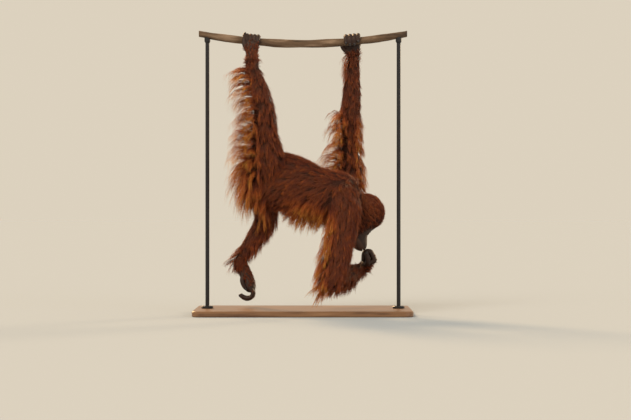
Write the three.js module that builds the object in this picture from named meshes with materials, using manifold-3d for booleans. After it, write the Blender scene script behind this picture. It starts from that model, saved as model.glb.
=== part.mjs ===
// An adult female orangutan that hangs from a cut length of liana by its left hand and its right foot,
// on a plain display stand. Millimetres, +Z up, +X towards the head, +Y to the animal's left. The origin
// is the middle of the underside of the stand's base. The coat's long hair is modelled as flat locks
// that taper, bend and overlap.
import * as THREE from "three";
import { mergeVertices } from "three/addons/utils/BufferGeometryUtils.js";
import Module from "manifold-3d";

const wasm = await Module();
wasm.setup();

const V = (x, y, z) => new THREE.Vector3(x, y, z);
const DOWN = V(0, 0, -1);
const GAP = 0.3; // between any two solids that touch
const DEGREE = Math.PI / 180;

// Colours of the finishes
const COAT = { color: 0x7a3412, roughness: 0.85, metalness: 0 };
const BARE_SKIN = { color: 0x3b2a24, roughness: 0.6, metalness: 0 };
const EYE = { color: 0x1c0f08, roughness: 0.1, metalness: 0 };
const BARK = { color: 0x5a4630, roughness: 0.9, metalness: 0 };
const STAND_BOARD = { color: 0x6b4a32, roughness: 0.5, metalness: 0 };
const STAND_STEEL = { color: 0x2a2a2c, roughness: 0.4, metalness: 0.9 };

// The stand: a board, and a rod under each end of the liana
const BASE = { long: 1080, wide: 560, thick: 28, corner: 40, bevel: 4 };
const ROD = { radius: 10, reach: 478, sides: 14 };
const FLANGE = { radius: 30, high: 12, bevel: 3 };
const SADDLE = { radius: 15, high: 22, taper: 8, sink: 6 };

// The liana, a shallow sag from end to end, thicker at its middle, of two strands that twist together
const LIANA = { long: 1040, low: 1351, endRise: 50, sides: 10, rings: 17 };
const LIANA_SECTION = { radius: 17.5, swell: 2, swellOver: 260, lobe: 0.07, twist: 250 };

// The joints of the limbs
const HIP_RIGHT = V(-175, -72, 745);
const KNEE_RIGHT = V(-195, -116, 1010);
const ANKLE_RIGHT = V(-255, -58, 1255);
const HIP_LEFT = V(-205, 72, 712);
const KNEE_LEFT = V(-185, 148, 485);
const ANKLE_LEFT = V(-322, 112, 262);
const SHOULDER_LEFT = V(232, 116, 650);
const ELBOW_LEFT = V(240, 76, 1004);
const WRIST_LEFT = V(253, 38, 1288);
const SHOULDER_RIGHT = V(208, -136, 522);
const ELBOW_RIGHT = V(148, -226, 186);
const WRIST_RIGHT = V(292, 24, 222);

// The head turns about the root of the nose, and looks down and forward
const NOSE_ROOT = V(320, 0, 418);
const HEAD_PITCH = 60 * DEGREE;

// Solids from geometries, and cuts between them

function solidOf(geometry) {
  const bare = geometry.clone();
  for (const name of Object.keys(bare.attributes)) if (name !== "position") bare.deleteAttribute(name);
  const merged = mergeVertices(bare, 1e-3);
  const vertices = Float32Array.from(merged.attributes.position.array);
  const build = (triangles) =>
    new wasm.Manifold(new wasm.Mesh({ numProp: 3, vertProperties: vertices, triVerts: triangles }));
  const triangles = Uint32Array.from(merged.index.array);
  const solid = build(triangles);
  if (solid.volume() > 0) return solid;
  for (let i = 0; i < triangles.length; i += 3) {
    [triangles[i + 1], triangles[i + 2]] = [triangles[i + 2], triangles[i + 1]];
  }
  return build(triangles);
}

// Vertices that nearly touch become one, so that no sliver is left where two locks cross. Of a few
// distances, the widest is taken that leaves every edge between two faces.
const WELDS = [0.05, 0.03, 0.02, 0.01, 0.005, 0.002, 0.001];
function geometryOf(solid) {
  const mesh = solid.getMesh();
  const position = new Float32Array(mesh.numVert * 3);
  for (let i = 0; i < mesh.numVert; i++) {
    position.set(mesh.vertProperties.subarray(i * mesh.numProp, i * mesh.numProp + 3), i * 3);
  }
  const geometry = new THREE.BufferGeometry();
  geometry.setAttribute("position", new THREE.BufferAttribute(position, 3));
  geometry.setIndex(new THREE.BufferAttribute(mesh.triVerts, 1));
  for (const distance of WELDS) {
    const welded = mergeVertices(geometry, distance);
    const kept = [];
    const edges = new Set();
    for (let i = 0; i < welded.index.count; i += 3) {
      const corners = [0, 1, 2].map((k) => welded.index.getX(i + k));
      if (new Set(corners).size < 3) continue;
      kept.push(...corners);
      corners.forEach((corner, k) => edges.add(`${corner} ${corners[(k + 1) % 3]}`));
    }
    const paired = [...edges].every((edge) => edges.has(edge.split(" ").reverse().join(" ")));
    if (edges.size === kept.length && paired) {
      welded.setIndex(kept);
      return welded;
    }
  }
  return geometry;
}

const fuse = (solids) => wasm.Manifold.union(solids);

// The largest closed surface, which drops loose scraps and fills sealed hollows
const largest = (solid) => solid.decompose().reduce((a, b) => (b.volume() > a.volume() ? b : a));

// Keeps what lies ahead of a plane, half a gap from it
function ahead(solid, point, direction) {
  const n = direction.clone().normalize();
  return solid.trimByPlane([n.x, n.y, n.z], n.dot(point) + GAP / 2);
}

// The plane of a bent joint halves the angle between the two lengths that meet there
function jointDirection(before, joint, after) {
  const incoming = joint.clone().sub(before).normalize();
  const outgoing = after.clone().sub(joint).normalize();
  return incoming.add(outgoing).normalize();
}

// A closed body with elliptical sections along a smooth line, and round ends.
// Each station is [centre, half width along the side direction, half depth across it].
class Limb {
  constructor(stations, side, { sides = 10, rings = 8, cap = 2, bulge = 1 } = {}) {
    const smooth = (points) => new THREE.CatmullRomCurve3(points, false, "catmullrom", 0.5);
    this.line = smooth(stations.map((station) => station[0]));
    this.sizes = smooth(stations.map((station) => V(station[1], station[2] ?? station[1], 0)));
    this.side = side.clone().normalize();
    this.sides = sides;
    this.rings = rings;
    this.cap = cap;
    this.bulge = bulge;
  }

  frame(u) {
    const centre = this.line.getPoint(u);
    const along = this.line.getTangent(u);
    const across = this.side.clone().addScaledVector(along, -this.side.dot(along)).normalize();
    const up = new THREE.Vector3().crossVectors(along, across);
    const size = this.sizes.getPoint(u);
    return { centre, along, across, up, wide: size.x, deep: size.y };
  }

  surface(u, angle) {
    const f = this.frame(u);
    const cos = Math.cos(angle);
    const sin = Math.sin(angle);
    const point = f.centre.clone().addScaledVector(f.across, f.wide * cos);
    point.addScaledVector(f.up, f.deep * sin);
    const normal = f.across.clone().multiplyScalar(cos / f.wide);
    normal.addScaledVector(f.up, sin / f.deep).normalize();
    return { point, normal, along: f.along };
  }

  get length() {
    return this.line.getLength();
  }

  solid(grow = 0) {
    const rows = [];
    const capRow = (k) => Math.sin((k / (this.cap + 1)) * 90 * DEGREE);
    for (let k = this.cap; k > 0; k--) rows.push([0, -capRow(k)]);
    for (let i = 0; i < this.rings; i++) rows.push([i / (this.rings - 1), 0]);
    for (let k = 1; k <= this.cap; k++) rows.push([1, capRow(k)]);
    const positions = [];
    const index = [];
    const tip = (u, sign) => {
      const f = this.frame(u);
      return f.centre.addScaledVector(f.along, sign * (Math.min(f.wide, f.deep) * this.bulge + grow));
    };
    positions.push(...tip(0, -1));
    for (const [u, over] of rows) {
      const f = this.frame(u);
      const reach = Math.min(f.wide, f.deep) * this.bulge + grow;
      const shrink = Math.sqrt(1 - over * over);
      for (let j = 0; j < this.sides; j++) {
        const angle = (j / this.sides) * 2 * Math.PI;
        const point = f.centre
          .clone()
          .addScaledVector(f.along, over * reach)
          .addScaledVector(f.across, (f.wide + grow) * shrink * Math.cos(angle))
          .addScaledVector(f.up, (f.deep + grow) * shrink * Math.sin(angle));
        positions.push(...point);
      }
    }
    positions.push(...tip(1, 1));
    const n = this.sides;
    const last = rows.length * n + 1;
    for (let j = 0; j < n; j++) {
      const next = (j + 1) % n;
      index.push(0, 1 + next, 1 + j);
      for (let i = 0; i + 1 < rows.length; i++) {
        const a = 1 + i * n;
        const b = a + n;
        index.push(a + j, a + next, b + j, a + next, b + next, b + j);
      }
      index.push(last, last - n + j, last - n + next);
    }
    const geometry = new THREE.BufferGeometry();
    geometry.setAttribute("position", new THREE.BufferAttribute(new Float32Array(positions), 3));
    geometry.setIndex(index);
    return solidOf(geometry);
  }
}

function ellipsoid(centre, radii, across = 16, down = 10) {
  const geometry = new THREE.SphereGeometry(1, across, down);
  geometry.scale(radii.x, radii.y, radii.z).translate(centre.x, centre.y, centre.z);
  return solidOf(geometry);
}

// The liana's line and section

function lianaCentre(x) {
  const share = x / (LIANA.long / 2);
  return V(x, 0, LIANA.low + LIANA.endRise * share * share);
}

function lianaSolid(grow = 0) {
  const { sides, rings } = LIANA;
  const { radius, swell, swellOver, lobe, twist } = LIANA_SECTION;
  const positions = [];
  const index = [];
  for (let i = 0; i < rings; i++) {
    const x = (i / (rings - 1) - 0.5) * (LIANA.long + 2 * grow);
    const centre = lianaCentre(x);
    const size = radius + swell * Math.cos(x / swellOver);
    for (let j = 0; j < sides; j++) {
      const angle = (j / sides) * 2 * Math.PI;
      const r = size * (1 + lobe * Math.cos(2 * angle - (x / twist) * 2 * Math.PI)) + grow;
      positions.push(centre.x, centre.y + r * Math.cos(angle), centre.z + r * Math.sin(angle));
    }
  }
  const ends = [positions.length / 3, positions.length / 3 + 1];
  for (const sign of [-1, 1]) {
    positions.push(...lianaCentre((sign * (LIANA.long + 2 * grow)) / 2));
  }
  for (let j = 0; j < sides; j++) {
    const next = (j + 1) % sides;
    const top = (rings - 1) * sides;
    index.push(ends[0], next, j, ends[1], top + j, top + next);
    for (let i = 0; i + 1 < rings; i++) {
      const a = i * sides;
      const b = a + sides;
      index.push(a + j, a + next, b + j, a + next, b + next, b + j);
    }
  }
  const geometry = new THREE.BufferGeometry();
  geometry.setAttribute("position", new THREE.BufferAttribute(new Float32Array(positions), 3));
  geometry.setIndex(index);
  return solidOf(geometry);
}

// The head, in its own frame: forward, to the left and up from the root of the nose

const FORWARD = V(Math.cos(HEAD_PITCH), 0, -Math.sin(HEAD_PITCH));
const UP = V(Math.sin(HEAD_PITCH), 0, Math.cos(HEAD_PITCH));
const LEFT = V(0, 1, 0);
const HEAD_MATRIX = new THREE.Matrix4().makeBasis(FORWARD, LEFT, UP).setPosition(NOSE_ROOT);
const inHead = (forward, left, up) => V(forward, left, up).applyMatrix4(HEAD_MATRIX);

// Each mass of the head is [centre, radii], blended into its neighbours. Its surface is found by halving
// the stretch between a place inside it and one outside.
const CRANIUM_HAIR = 7;
const HEAD_MASSES = [
  [V(-80, 0, 57), V(81 + CRANIUM_HAIR, 66 + CRANIUM_HAIR, 70 + CRANIUM_HAIR)], // cranium with its short hair
  [V(-30, 0, 26), V(34, 48, 32)], // forehead
  [V(-22, 0, -20), V(36, 42, 36)], // middle of the face
  [V(-30, 40, -34), V(30, 20, 38)], // left cheek
  [V(-30, -40, -34), V(30, 20, 38)], // right cheek
  [V(8, 0, -50), V(42, 36, 28)], // muzzle
  [V(36, 0, -56), V(30, 29, 17)], // upper lip
  [V(28, 0, -80), V(32, 27, 17)], // lower lip and chin
  [V(-24, 0, -76), V(46, 42, 34)], // jaw
  [V(-80, 0, -20), V(56, 54, 62)], // throat
];
const HEAD_BLEND = 11;
const HEAD_MIDDLE = V(-36, 0, 0);
const HEAD_LIMIT = 260;
const FACE_LIMIT = 120;
const HALVINGS = 26;
const HEAD_MESH = { around: 24, rings: 18, axis: V(0.86, 0, -0.51).normalize(), crowding: 1.35 };

function halved(low, high, inside) {
  for (let i = 0; i < HALVINGS; i++) {
    const middle = (low + high) / 2;
    if (inside(middle)) low = middle;
    else high = middle;
  }
  return low;
}

const massDistance = (p, [centre, radii]) => {
  const share = p.clone().sub(centre).divide(radii).length();
  return (share - 1) * Math.min(radii.x, radii.y, radii.z);
};

// How far a point of the head's frame lies outside its blended masses
function headDistance(p) {
  const sum = HEAD_MASSES.reduce((s, mass) => s + Math.exp(-massDistance(p, mass) / HEAD_BLEND), 0);
  return -HEAD_BLEND * Math.log(sum);
}

// The head's surface along a ray from its middle
function headReach(direction) {
  const at = (reach) => HEAD_MIDDLE.clone().addScaledVector(direction, reach);
  return halved(0, HEAD_LIMIT, (reach) => headDistance(at(reach)) < 0);
}

// How far forward the face's surface stands at a place across and up it
function faceForward(left, up) {
  return halved(HEAD_MIDDLE.x, FACE_LIMIT, (forward) => headDistance(V(forward, left, up)) < 0);
}

// Rings round the muzzle's axis, closest together at the lips
function headSkull(grow = 0) {
  const geometry = new THREE.SphereGeometry(1, HEAD_MESH.around, HEAD_MESH.rings);
  const position = geometry.attributes.position;
  const turn = new THREE.Quaternion().setFromUnitVectors(V(0, 1, 0), HEAD_MESH.axis);
  for (let i = 0; i < position.count; i++) {
    const p = new THREE.Vector3().fromBufferAttribute(position, i);
    const polar = Math.acos(THREE.MathUtils.clamp(p.y, -1, 1));
    const around = Math.atan2(p.z, p.x);
    const eased = Math.PI * Math.pow(polar / Math.PI, HEAD_MESH.crowding);
    const onAxis = Math.abs(Math.sin(polar)) < 1e-4;
    const ray = onAxis
      ? V(0, Math.sign(p.y), 0)
      : V(Math.sin(eased) * Math.cos(around), Math.cos(eased), Math.sin(eased) * Math.sin(around));
    ray.applyQuaternion(turn).normalize();
    const point = HEAD_MIDDLE.clone().addScaledVector(ray, headReach(ray) + grow);
    position.setXYZ(i, point.x, point.y, point.z);
  }
  geometry.applyMatrix4(HEAD_MATRIX);
  return solidOf(geometry);
}

const EYE_BALL = { radius: 11.5, apart: 22, up: -7, shown: 5.5 };
const LID = { roll: 3.2, over: 1.4, upperRise: 0.6, lowerRise: 0.5 };
const MOUTH = { up: -68, half: 27, deep: 9, slit: 1.1, curl: 5 };
const LIP = { wide: 5, thick: 4.2, sink: 2, upper: 4.5, lower: -5.5 };
const NOSTRIL = { apart: 6.5, up: -30, wide: 3.6, high: 3, deep: 8, rim: 7 };
const EAR = { forward: -84, up: -6, sink: 1, high: 19, long: 13, thick: 8, cup: 0.7 };

const EYE_FORWARD = faceForward(EYE_BALL.apart, EYE_BALL.up) + EYE_BALL.shown - EYE_BALL.radius;
const eyeCentre = (sign) => inHead(EYE_FORWARD, sign * EYE_BALL.apart, EYE_BALL.up);

function eyeBall(sign, grow = 0) {
  const r = EYE_BALL.radius + grow;
  return ellipsoid(eyeCentre(sign), V(r, r, r), 12, 8);
}

// A rounded strip along points of the head's frame
const headRoll = (points, wide, deep, options) =>
  new Limb(points.map((p) => [inHead(...p), wide, deep]), FORWARD, { cap: 1, ...options }).solid();

// One lid: an arc over the ball, from its inner corner to its outer one
function lid(sign, rise) {
  const r = EYE_BALL.radius + LID.over;
  const points = [];
  for (let k = 0; k <= 6; k++) {
    const angle = (k / 6) * 180 * DEGREE;
    const out = Math.cos(angle) * r;
    const high = Math.sin(angle) * rise;
    const front = Math.sqrt(Math.max(0, r * r - out * out - high * high));
    points.push([EYE_FORWARD + front, sign * EYE_BALL.apart + out, EYE_BALL.up + high]);
  }
  return headRoll(points, LID.roll, LID.roll, { sides: 5, rings: 7 });
}

// A strip across the muzzle from one corner of the mouth to the other, sunk under the skin by a depth
function acrossMouth(rise, sink, wide, deep) {
  const points = [];
  for (let k = 0; k <= 8; k++) {
    const share = k / 4 - 1;
    const left = share * MOUTH.half;
    const up = MOUTH.up + rise * (1 - share * share) + MOUTH.curl * share * share;
    points.push([faceForward(left, up) - sink, left, up]);
  }
  return headRoll(points, wide, deep, { sides: 6, rings: 9 });
}

function headSolid() {
  const lip = (rise) => acrossMouth(rise, LIP.sink, LIP.wide, LIP.thick);
  const pieces = [headSkull(), lip(LIP.upper), lip(LIP.lower)];
  const nose = (sign) => faceForward(sign * NOSTRIL.apart, NOSTRIL.up);
  for (const sign of [1, -1]) {
    pieces.push(lid(sign, EYE_BALL.radius * LID.upperRise), lid(sign, -EYE_BALL.radius * LID.lowerRise));
    const wing = inHead(nose(sign) - 3, sign * (NOSTRIL.apart + 1.5), NOSTRIL.up + 2);
    pieces.push(ellipsoid(wing, V(NOSTRIL.rim, NOSTRIL.rim, NOSTRIL.rim), 10, 8));
  }
  let solid = fuse(pieces).subtract(acrossMouth(0, 0, MOUTH.deep, MOUTH.slit));
  for (const sign of [1, -1]) {
    const hole = new THREE.SphereGeometry(1, 8, 6);
    hole.scale(NOSTRIL.deep, NOSTRIL.wide, NOSTRIL.high);
    hole.translate(nose(sign) + 3, sign * NOSTRIL.apart, NOSTRIL.up - 1).applyMatrix4(HEAD_MATRIX);
    solid = solid.subtract(solidOf(hole)).subtract(eyeBall(sign, GAP));
  }
  return largest(solid);
}

// An ear is a dish with a raised rim, set flat on the side of the head
function earSolid(sign) {
  let out = 0;
  while (headDistance(V(EAR.forward, out, EAR.up)) < 0) out += 1;
  out -= EAR.sink;
  const dish = new THREE.SphereGeometry(1, 12, 8);
  dish.scale(EAR.long, EAR.thick, EAR.high);
  dish.translate(EAR.forward, sign * out, EAR.up);
  const cup = new THREE.SphereGeometry(1, 10, 7);
  cup.scale(EAR.long * EAR.cup, EAR.thick, EAR.high * EAR.cup);
  cup.translate(EAR.forward + 1, sign * (out + EAR.thick * 0.75), EAR.up);
  return solidOf(dish.applyMatrix4(HEAD_MATRIX)).subtract(solidOf(cup.applyMatrix4(HEAD_MATRIX)));
}

// The trunk and the limbs

const Y = V(0, 1, 0);
const X = V(1, 0, 0);

const TORSO = new Limb(
  [
    [V(-238, 0, 662), 92, 100],
    [V(-200, 0, 668), 112, 128],
    [V(-165, 0, 670), 122, 144],
    [V(-90, 0, 662), 134, 142],
    [V(-15, 0, 641), 140, 134],
    [V(60, 0, 617), 144, 118],
    [V(135, 0, 600), 148, 118],
    [V(190, 0, 590), 136, 116],
    [V(222, 0, 578), 108, 98],
  ],
  Y,
  { sides: 18, rings: 11, cap: 2, bulge: 0.45 },
);
const NECK = new Limb(
  [
    [V(200, 0, 575), 84, 82],
    [V(245, 0, 548), 76, 76],
    [V(285, 0, 520), 66, 66],
  ],
  Y,
  { sides: 12, rings: 5 },
);
const UPPER_ARM_LEFT = new Limb(
  [
    [V(205, 80, 590), 62, 62],
    [SHOULDER_LEFT, 66, 64],
    [V(236, 104, 780), 47, 48],
    [V(238, 86, 920), 42, 43],
    [ELBOW_LEFT, 44, 45],
  ],
  X,
);
const FOREARM_LEFT = new Limb(
  [
    [ELBOW_LEFT, 44, 45],
    [V(243, 66, 1078), 46, 44],
    [V(248, 52, 1180), 37, 36],
    [WRIST_LEFT, 27, 27],
  ],
  X,
);
const PALM_LEFT = new Limb(
  [
    [WRIST_LEFT, 27, 25],
    [V(250, 35, 1325), 36, 18],
    [V(246, 33, 1356), 42, 14],
  ],
  X,
  { sides: 12, rings: 6 },
);
const UPPER_ARM_RIGHT = new Limb(
  [
    [V(200, -95, 585), 70, 70],
    [SHOULDER_RIGHT, 72, 66],
    [V(194, -168, 405), 64, 56],
    [V(170, -204, 280), 60, 50],
    [ELBOW_RIGHT, 52, 46],
  ],
  X,
);
const FOREARM_RIGHT = new Limb(
  [
    [ELBOW_RIGHT, 52, 46],
    [V(186, -162, 186), 54, 46],
    [V(242, -66, 204), 43, 38],
    [WRIST_RIGHT, 29, 27],
  ],
  V(0, 0, 1),
);
const PALM_RIGHT = new Limb(
  [
    [WRIST_RIGHT, 28, 25],
    [V(320, 14, 238), 38, 21],
    [V(346, 10, 256), 41, 16],
  ],
  Y,
  { sides: 12, rings: 6 },
);
const THIGH_RIGHT = new Limb(
  [
    [V(-165, -45, 690), 76, 70],
    [HIP_RIGHT, 84, 76],
    [V(-190, -100, 880), 62, 58],
    [KNEE_RIGHT, 48, 46],
  ],
  X,
);
const SHANK_RIGHT = new Limb(
  [
    [KNEE_RIGHT, 48, 46],
    [V(-212, -108, 1090), 43, 42],
    [V(-238, -82, 1185), 36, 35],
    [ANKLE_RIGHT, 28, 28],
  ],
  X,
);
const FOOT_RIGHT = new Limb(
  [
    [ANKLE_RIGHT, 28, 28],
    [V(-254, -46, 1305), 30, 21],
    [V(-253, -34, 1352), 37, 15],
  ],
  X,
  { sides: 12, rings: 6 },
);
const THIGH_LEFT = new Limb(
  [
    [V(-190, 45, 745), 74, 68],
    [HIP_LEFT, 82, 76],
    [V(-196, 116, 595), 66, 62],
    [KNEE_LEFT, 52, 50],
  ],
  X,
);
const SHANK_LEFT = new Limb(
  [
    [KNEE_LEFT, 52, 50],
    [V(-215, 142, 425), 49, 47],
    [V(-268, 128, 345), 38, 37],
    [ANKLE_LEFT, 28, 27],
  ],
  Y,
);
const FOOT_LEFT = new Limb(
  [
    [ANKLE_LEFT, 28, 27],
    [V(-298, 108, 208), 30, 30],
    [V(-276, 104, 155), 36, 30],
    [V(-267, 102, 124), 38, 26],
  ],
  Y,
  { sides: 12, rings: 7 },
);

// Digits

const DIGIT = { sides: 6, rings: 6, cap: 1 };

// A digit that hooks over the liana at x, from one of its sides to the other
function hookedDigit(x, fromSide, radius, sweep) {
  const centre = lianaCentre(x);
  const reach = LIANA_SECTION.radius + LIANA_SECTION.swell + radius + 0.5;
  const stations = [];
  for (let k = 0; k <= 6; k++) {
    const angle = (-18 + (sweep * k) / 6) * DEGREE;
    const at = V(x, fromSide * reach * Math.cos(angle), centre.z + reach * Math.sin(angle));
    stations.push([at, radius * (1 - 0.2 * (k / 6)), radius * (1 - 0.2 * (k / 6))]);
  }
  return new Limb(stations, X, DIGIT);
}

const FINGER_SPACING = 20.6;
const TOE_SPACING = 18.6;
const FINGERS_LEFT = [205, 222, 220, 200].map((sweep, i) =>
  hookedDigit(245 + (i - 1.5) * FINGER_SPACING, 1, 10, sweep),
);
const TOES_RIGHT = [205, 216, 210, 190].map((sweep, i) =>
  hookedDigit(-251 + (i - 1.5) * TOE_SPACING, -1, 9, sweep),
);
const THUMB_LEFT = new Limb(
  [
    [V(222, 34, 1312), 11],
    [V(203, 30, 1328), 10],
    [V(193, 22, 1345), 8.5],
    [V(190, 26, 1364), 7.5],
  ],
  X,
  DIGIT,
);
const HALLUX_RIGHT = new Limb(
  [
    [V(-272, -46, 1308), 11],
    [V(-296, -41, 1338), 10],
    [V(-303, -33, 1372), 9],
    [V(-301, -17, 1400), 8],
  ],
  X,
  DIGIT,
);
const FINGERS_RIGHT = [0, 3, 2, -4].map((spread, i) => {
  const y = 10 + (i - 1.5) * FINGER_SPACING;
  return new Limb(
    [
      [V(344, y, 255), 10],
      [V(367 + spread, y, 266), 10],
      [V(369 + spread, y, 292), 10],
      [V(349, y, 311), 9.5],
      [V(325, y, 313), 8.5],
    ],
    Y,
    DIGIT,
  );
});
const THUMB_RIGHT = new Limb(
  [
    [V(316, -10, 240), 12],
    [V(331, -34, 255), 11],
    [V(343, -39, 276), 10],
    [V(337, -38, 297), 9],
  ],
  X,
  DIGIT,
);
const TOES_LEFT = [-3, 2, 2, -2].map((spread, i) => {
  const y = 102 + (i - 1.5) * TOE_SPACING;
  return new Limb(
    [
      [V(-264, y, 122), 9.1],
      [V(-250, y, 98 - spread), 9.1],
      [V(-262, y, 75 - spread), 9.1],
      [V(-286, y, 70 - spread), 9],
      [V(-308, y, 79 - spread), 8],
    ],
    Y,
    DIGIT,
  );
});
const HALLUX_LEFT = new Limb(
  [
    [V(-304, 86, 196), 12],
    [V(-316, 70, 172), 11],
    [V(-314, 66, 148), 10],
    [V(-302, 68, 128), 9],
  ],
  X,
  DIGIT,
);

// A limb's solid, cut at its joints' planes. A grown one passes each plane by as much as it grew.
function limbSolid(limb, grow = 0) {
  let solid = limb.solid(grow);
  for (const [joint, way] of limb.cuts ?? []) {
    solid = ahead(solid, joint.clone().addScaledVector(way, -grow), way);
  }
  return solid;
}

// Each limb's lengths meet at planes through its joints
const CHAINS = [
  [UPPER_ARM_LEFT, FOREARM_LEFT, PALM_LEFT],
  [UPPER_ARM_RIGHT, FOREARM_RIGHT, PALM_RIGHT],
  [THIGH_LEFT, SHANK_LEFT, FOOT_LEFT],
  [THIGH_RIGHT, SHANK_RIGHT, FOOT_RIGHT],
];
for (const chain of CHAINS) {
  for (let i = 0; i + 1 < chain.length; i++) {
    const joint = chain[i].line.getPoint(1);
    const way = jointDirection(chain[i].line.getPoint(0.8), joint, chain[i + 1].line.getPoint(0.2));
    chain[i].cuts = [...(chain[i].cuts ?? []), [joint, way.clone().negate()]];
    chain[i + 1].cuts = [...(chain[i + 1].cuts ?? []), [joint, way]];
  }
}

// Every node by its name. Each is cut clear of the ones named before it that it touches.
const nodes = new Map();

function add(name, finish, make, neighbours = []) {
  let solid = make(0);
  let grown = make(GAP);
  for (const other of neighbours) {
    solid = solid.subtract(nodes.get(other).grown);
    grown = grown.subtract(nodes.get(other).solid);
  }
  nodes.set(name, { solid: largest(solid), grown: largest(grown), finish });
}

add("perch", BARK, lianaSolid);
const head = headSolid();
nodes.set("head", { solid: head, grown: headSkull(GAP), finish: COAT });
add("torso", COAT, (grow) => TORSO.solid(grow), ["head"]);
add("neck", COAT, (grow) => NECK.solid(grow), ["torso", "head"]);
for (const [side, sign] of [["left", 1], ["right", -1]]) {
  add(`eye_${side}`, EYE, (grow) => eyeBall(sign, grow));
  add(`ear_${side}`, BARE_SKIN, () => earSolid(sign), ["head", "neck"]);
}
add("upper_arm_left", COAT, (grow) => limbSolid(UPPER_ARM_LEFT, grow), ["torso", "neck"]);
add("forearm_left", COAT, (grow) => limbSolid(FOREARM_LEFT, grow));
add("palm_left", BARE_SKIN, (grow) => limbSolid(PALM_LEFT, grow), ["perch"]);
add("upper_arm_right", COAT, (grow) => limbSolid(UPPER_ARM_RIGHT, grow), ["torso", "neck"]);
add("forearm_right", COAT, (grow) => limbSolid(FOREARM_RIGHT, grow));
add("palm_right", BARE_SKIN, (grow) => limbSolid(PALM_RIGHT, grow), ["head"]);
add("thigh_right", COAT, (grow) => limbSolid(THIGH_RIGHT, grow), ["torso"]);
add("shank_right", COAT, (grow) => limbSolid(SHANK_RIGHT, grow));
add("foot_right", BARE_SKIN, (grow) => limbSolid(FOOT_RIGHT, grow), ["perch"]);
add("thigh_left", COAT, (grow) => limbSolid(THIGH_LEFT, grow), ["torso", "thigh_right"]);
add("shank_left", COAT, (grow) => limbSolid(SHANK_LEFT, grow));
add("foot_left", BARE_SKIN, (grow) => limbSolid(FOOT_LEFT, grow));

const DIGIT_NAMES = ["second", "third", "fourth", "fifth"];
function addDigits(word, side, digits, thumb, palm, others) {
  digits.forEach((digit, i) => {
    add(`${word}_${DIGIT_NAMES[i]}_${side}`, BARE_SKIN, (grow) => digit.solid(grow), [palm, ...others]);
  });
  const used = digits.map((_, i) => `${word}_${DIGIT_NAMES[i]}_${side}`);
  add(word === "toe" ? `hallux_${side}` : `thumb_${side}`, BARE_SKIN, (grow) => thumb.solid(grow), [
    palm,
    ...others,
    ...used,
  ]);
}
addDigits("finger", "left", FINGERS_LEFT, THUMB_LEFT, "palm_left", ["perch"]);
addDigits("finger", "right", FINGERS_RIGHT, THUMB_RIGHT, "palm_right", ["head"]);
addDigits("toe", "left", TOES_LEFT, HALLUX_LEFT, "foot_left", []);
addDigits("toe", "right", TOES_RIGHT, HALLUX_RIGHT, "foot_right", ["perch"]);

// The stand

function boardSolid() {
  const { long, wide, thick, corner, bevel } = BASE;
  const outline = new THREE.Shape();
  const x = long / 2 - bevel;
  const y = wide / 2 - bevel;
  outline.moveTo(-x + corner, -y);
  outline.lineTo(x - corner, -y).absarc(x - corner, -y + corner, corner, -Math.PI / 2, 0);
  outline.lineTo(x, y - corner).absarc(x - corner, y - corner, corner, 0, Math.PI / 2);
  outline.lineTo(-x + corner, y).absarc(-x + corner, y - corner, corner, Math.PI / 2, Math.PI);
  outline.lineTo(-x, -y + corner).absarc(-x + corner, -y + corner, corner, Math.PI, 1.5 * Math.PI);
  const geometry = new THREE.ExtrudeGeometry(outline, {
    depth: thick - 2 * bevel,
    bevelThickness: bevel,
    bevelSize: bevel,
    bevelSegments: 1,
    curveSegments: 5,
  });
  return solidOf(geometry.translate(0, 0, bevel));
}

// A turned rod with a flange at its foot and a saddle under the liana
function rodSolid(x) {
  const top = lianaCentre(x).z;
  const foot = BASE.thick + GAP;
  const neck = top - LIANA_SECTION.radius - SADDLE.high;
  const profile = [
    [0, foot],
    [FLANGE.radius, foot],
    [FLANGE.radius, foot + FLANGE.high - FLANGE.bevel],
    [FLANGE.radius - FLANGE.bevel, foot + FLANGE.high],
    [ROD.radius, foot + FLANGE.high],
    [ROD.radius, neck],
    [SADDLE.radius, neck + SADDLE.taper],
    [SADDLE.radius, top - SADDLE.sink],
    [0, top - SADDLE.sink],
  ].map(([r, z]) => new THREE.Vector2(r, z));
  const geometry = new THREE.LatheGeometry(profile, ROD.sides);
  geometry.rotateX(Math.PI / 2).translate(x, 0, 0);
  return solidOf(geometry).subtract(nodes.get("perch").grown);
}

nodes.set("stand_base", { solid: boardSolid(), finish: STAND_BOARD });
nodes.set("stand_rod_fore", { solid: largest(rodSolid(ROD.reach)), finish: STAND_STEEL });
nodes.set("stand_rod_hind", { solid: largest(rodSolid(-ROD.reach)), finish: STAND_STEEL });

// The coat's long hair, as flat locks that taper to a point. A lock keeps clear of the other nodes and
// ends above the stand's board.

const LOCK = { rings: 4, sink: 9, flat: 0.34, shares: [0.7, 1, 0.85, 0.5], clear: 0.35, floor: 52 };
const TRIES = { count: 5, shorter: 0.7, lifted: 0.5 };
const VARIED = [0.8, 1.2];

let seed = 20513;
function random() {
  seed = (seed * 1664525 + 1013904223) % 4294967296;
  return seed / 4294967296;
}
const between = (low, high) => low + (high - low) * random();

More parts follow.
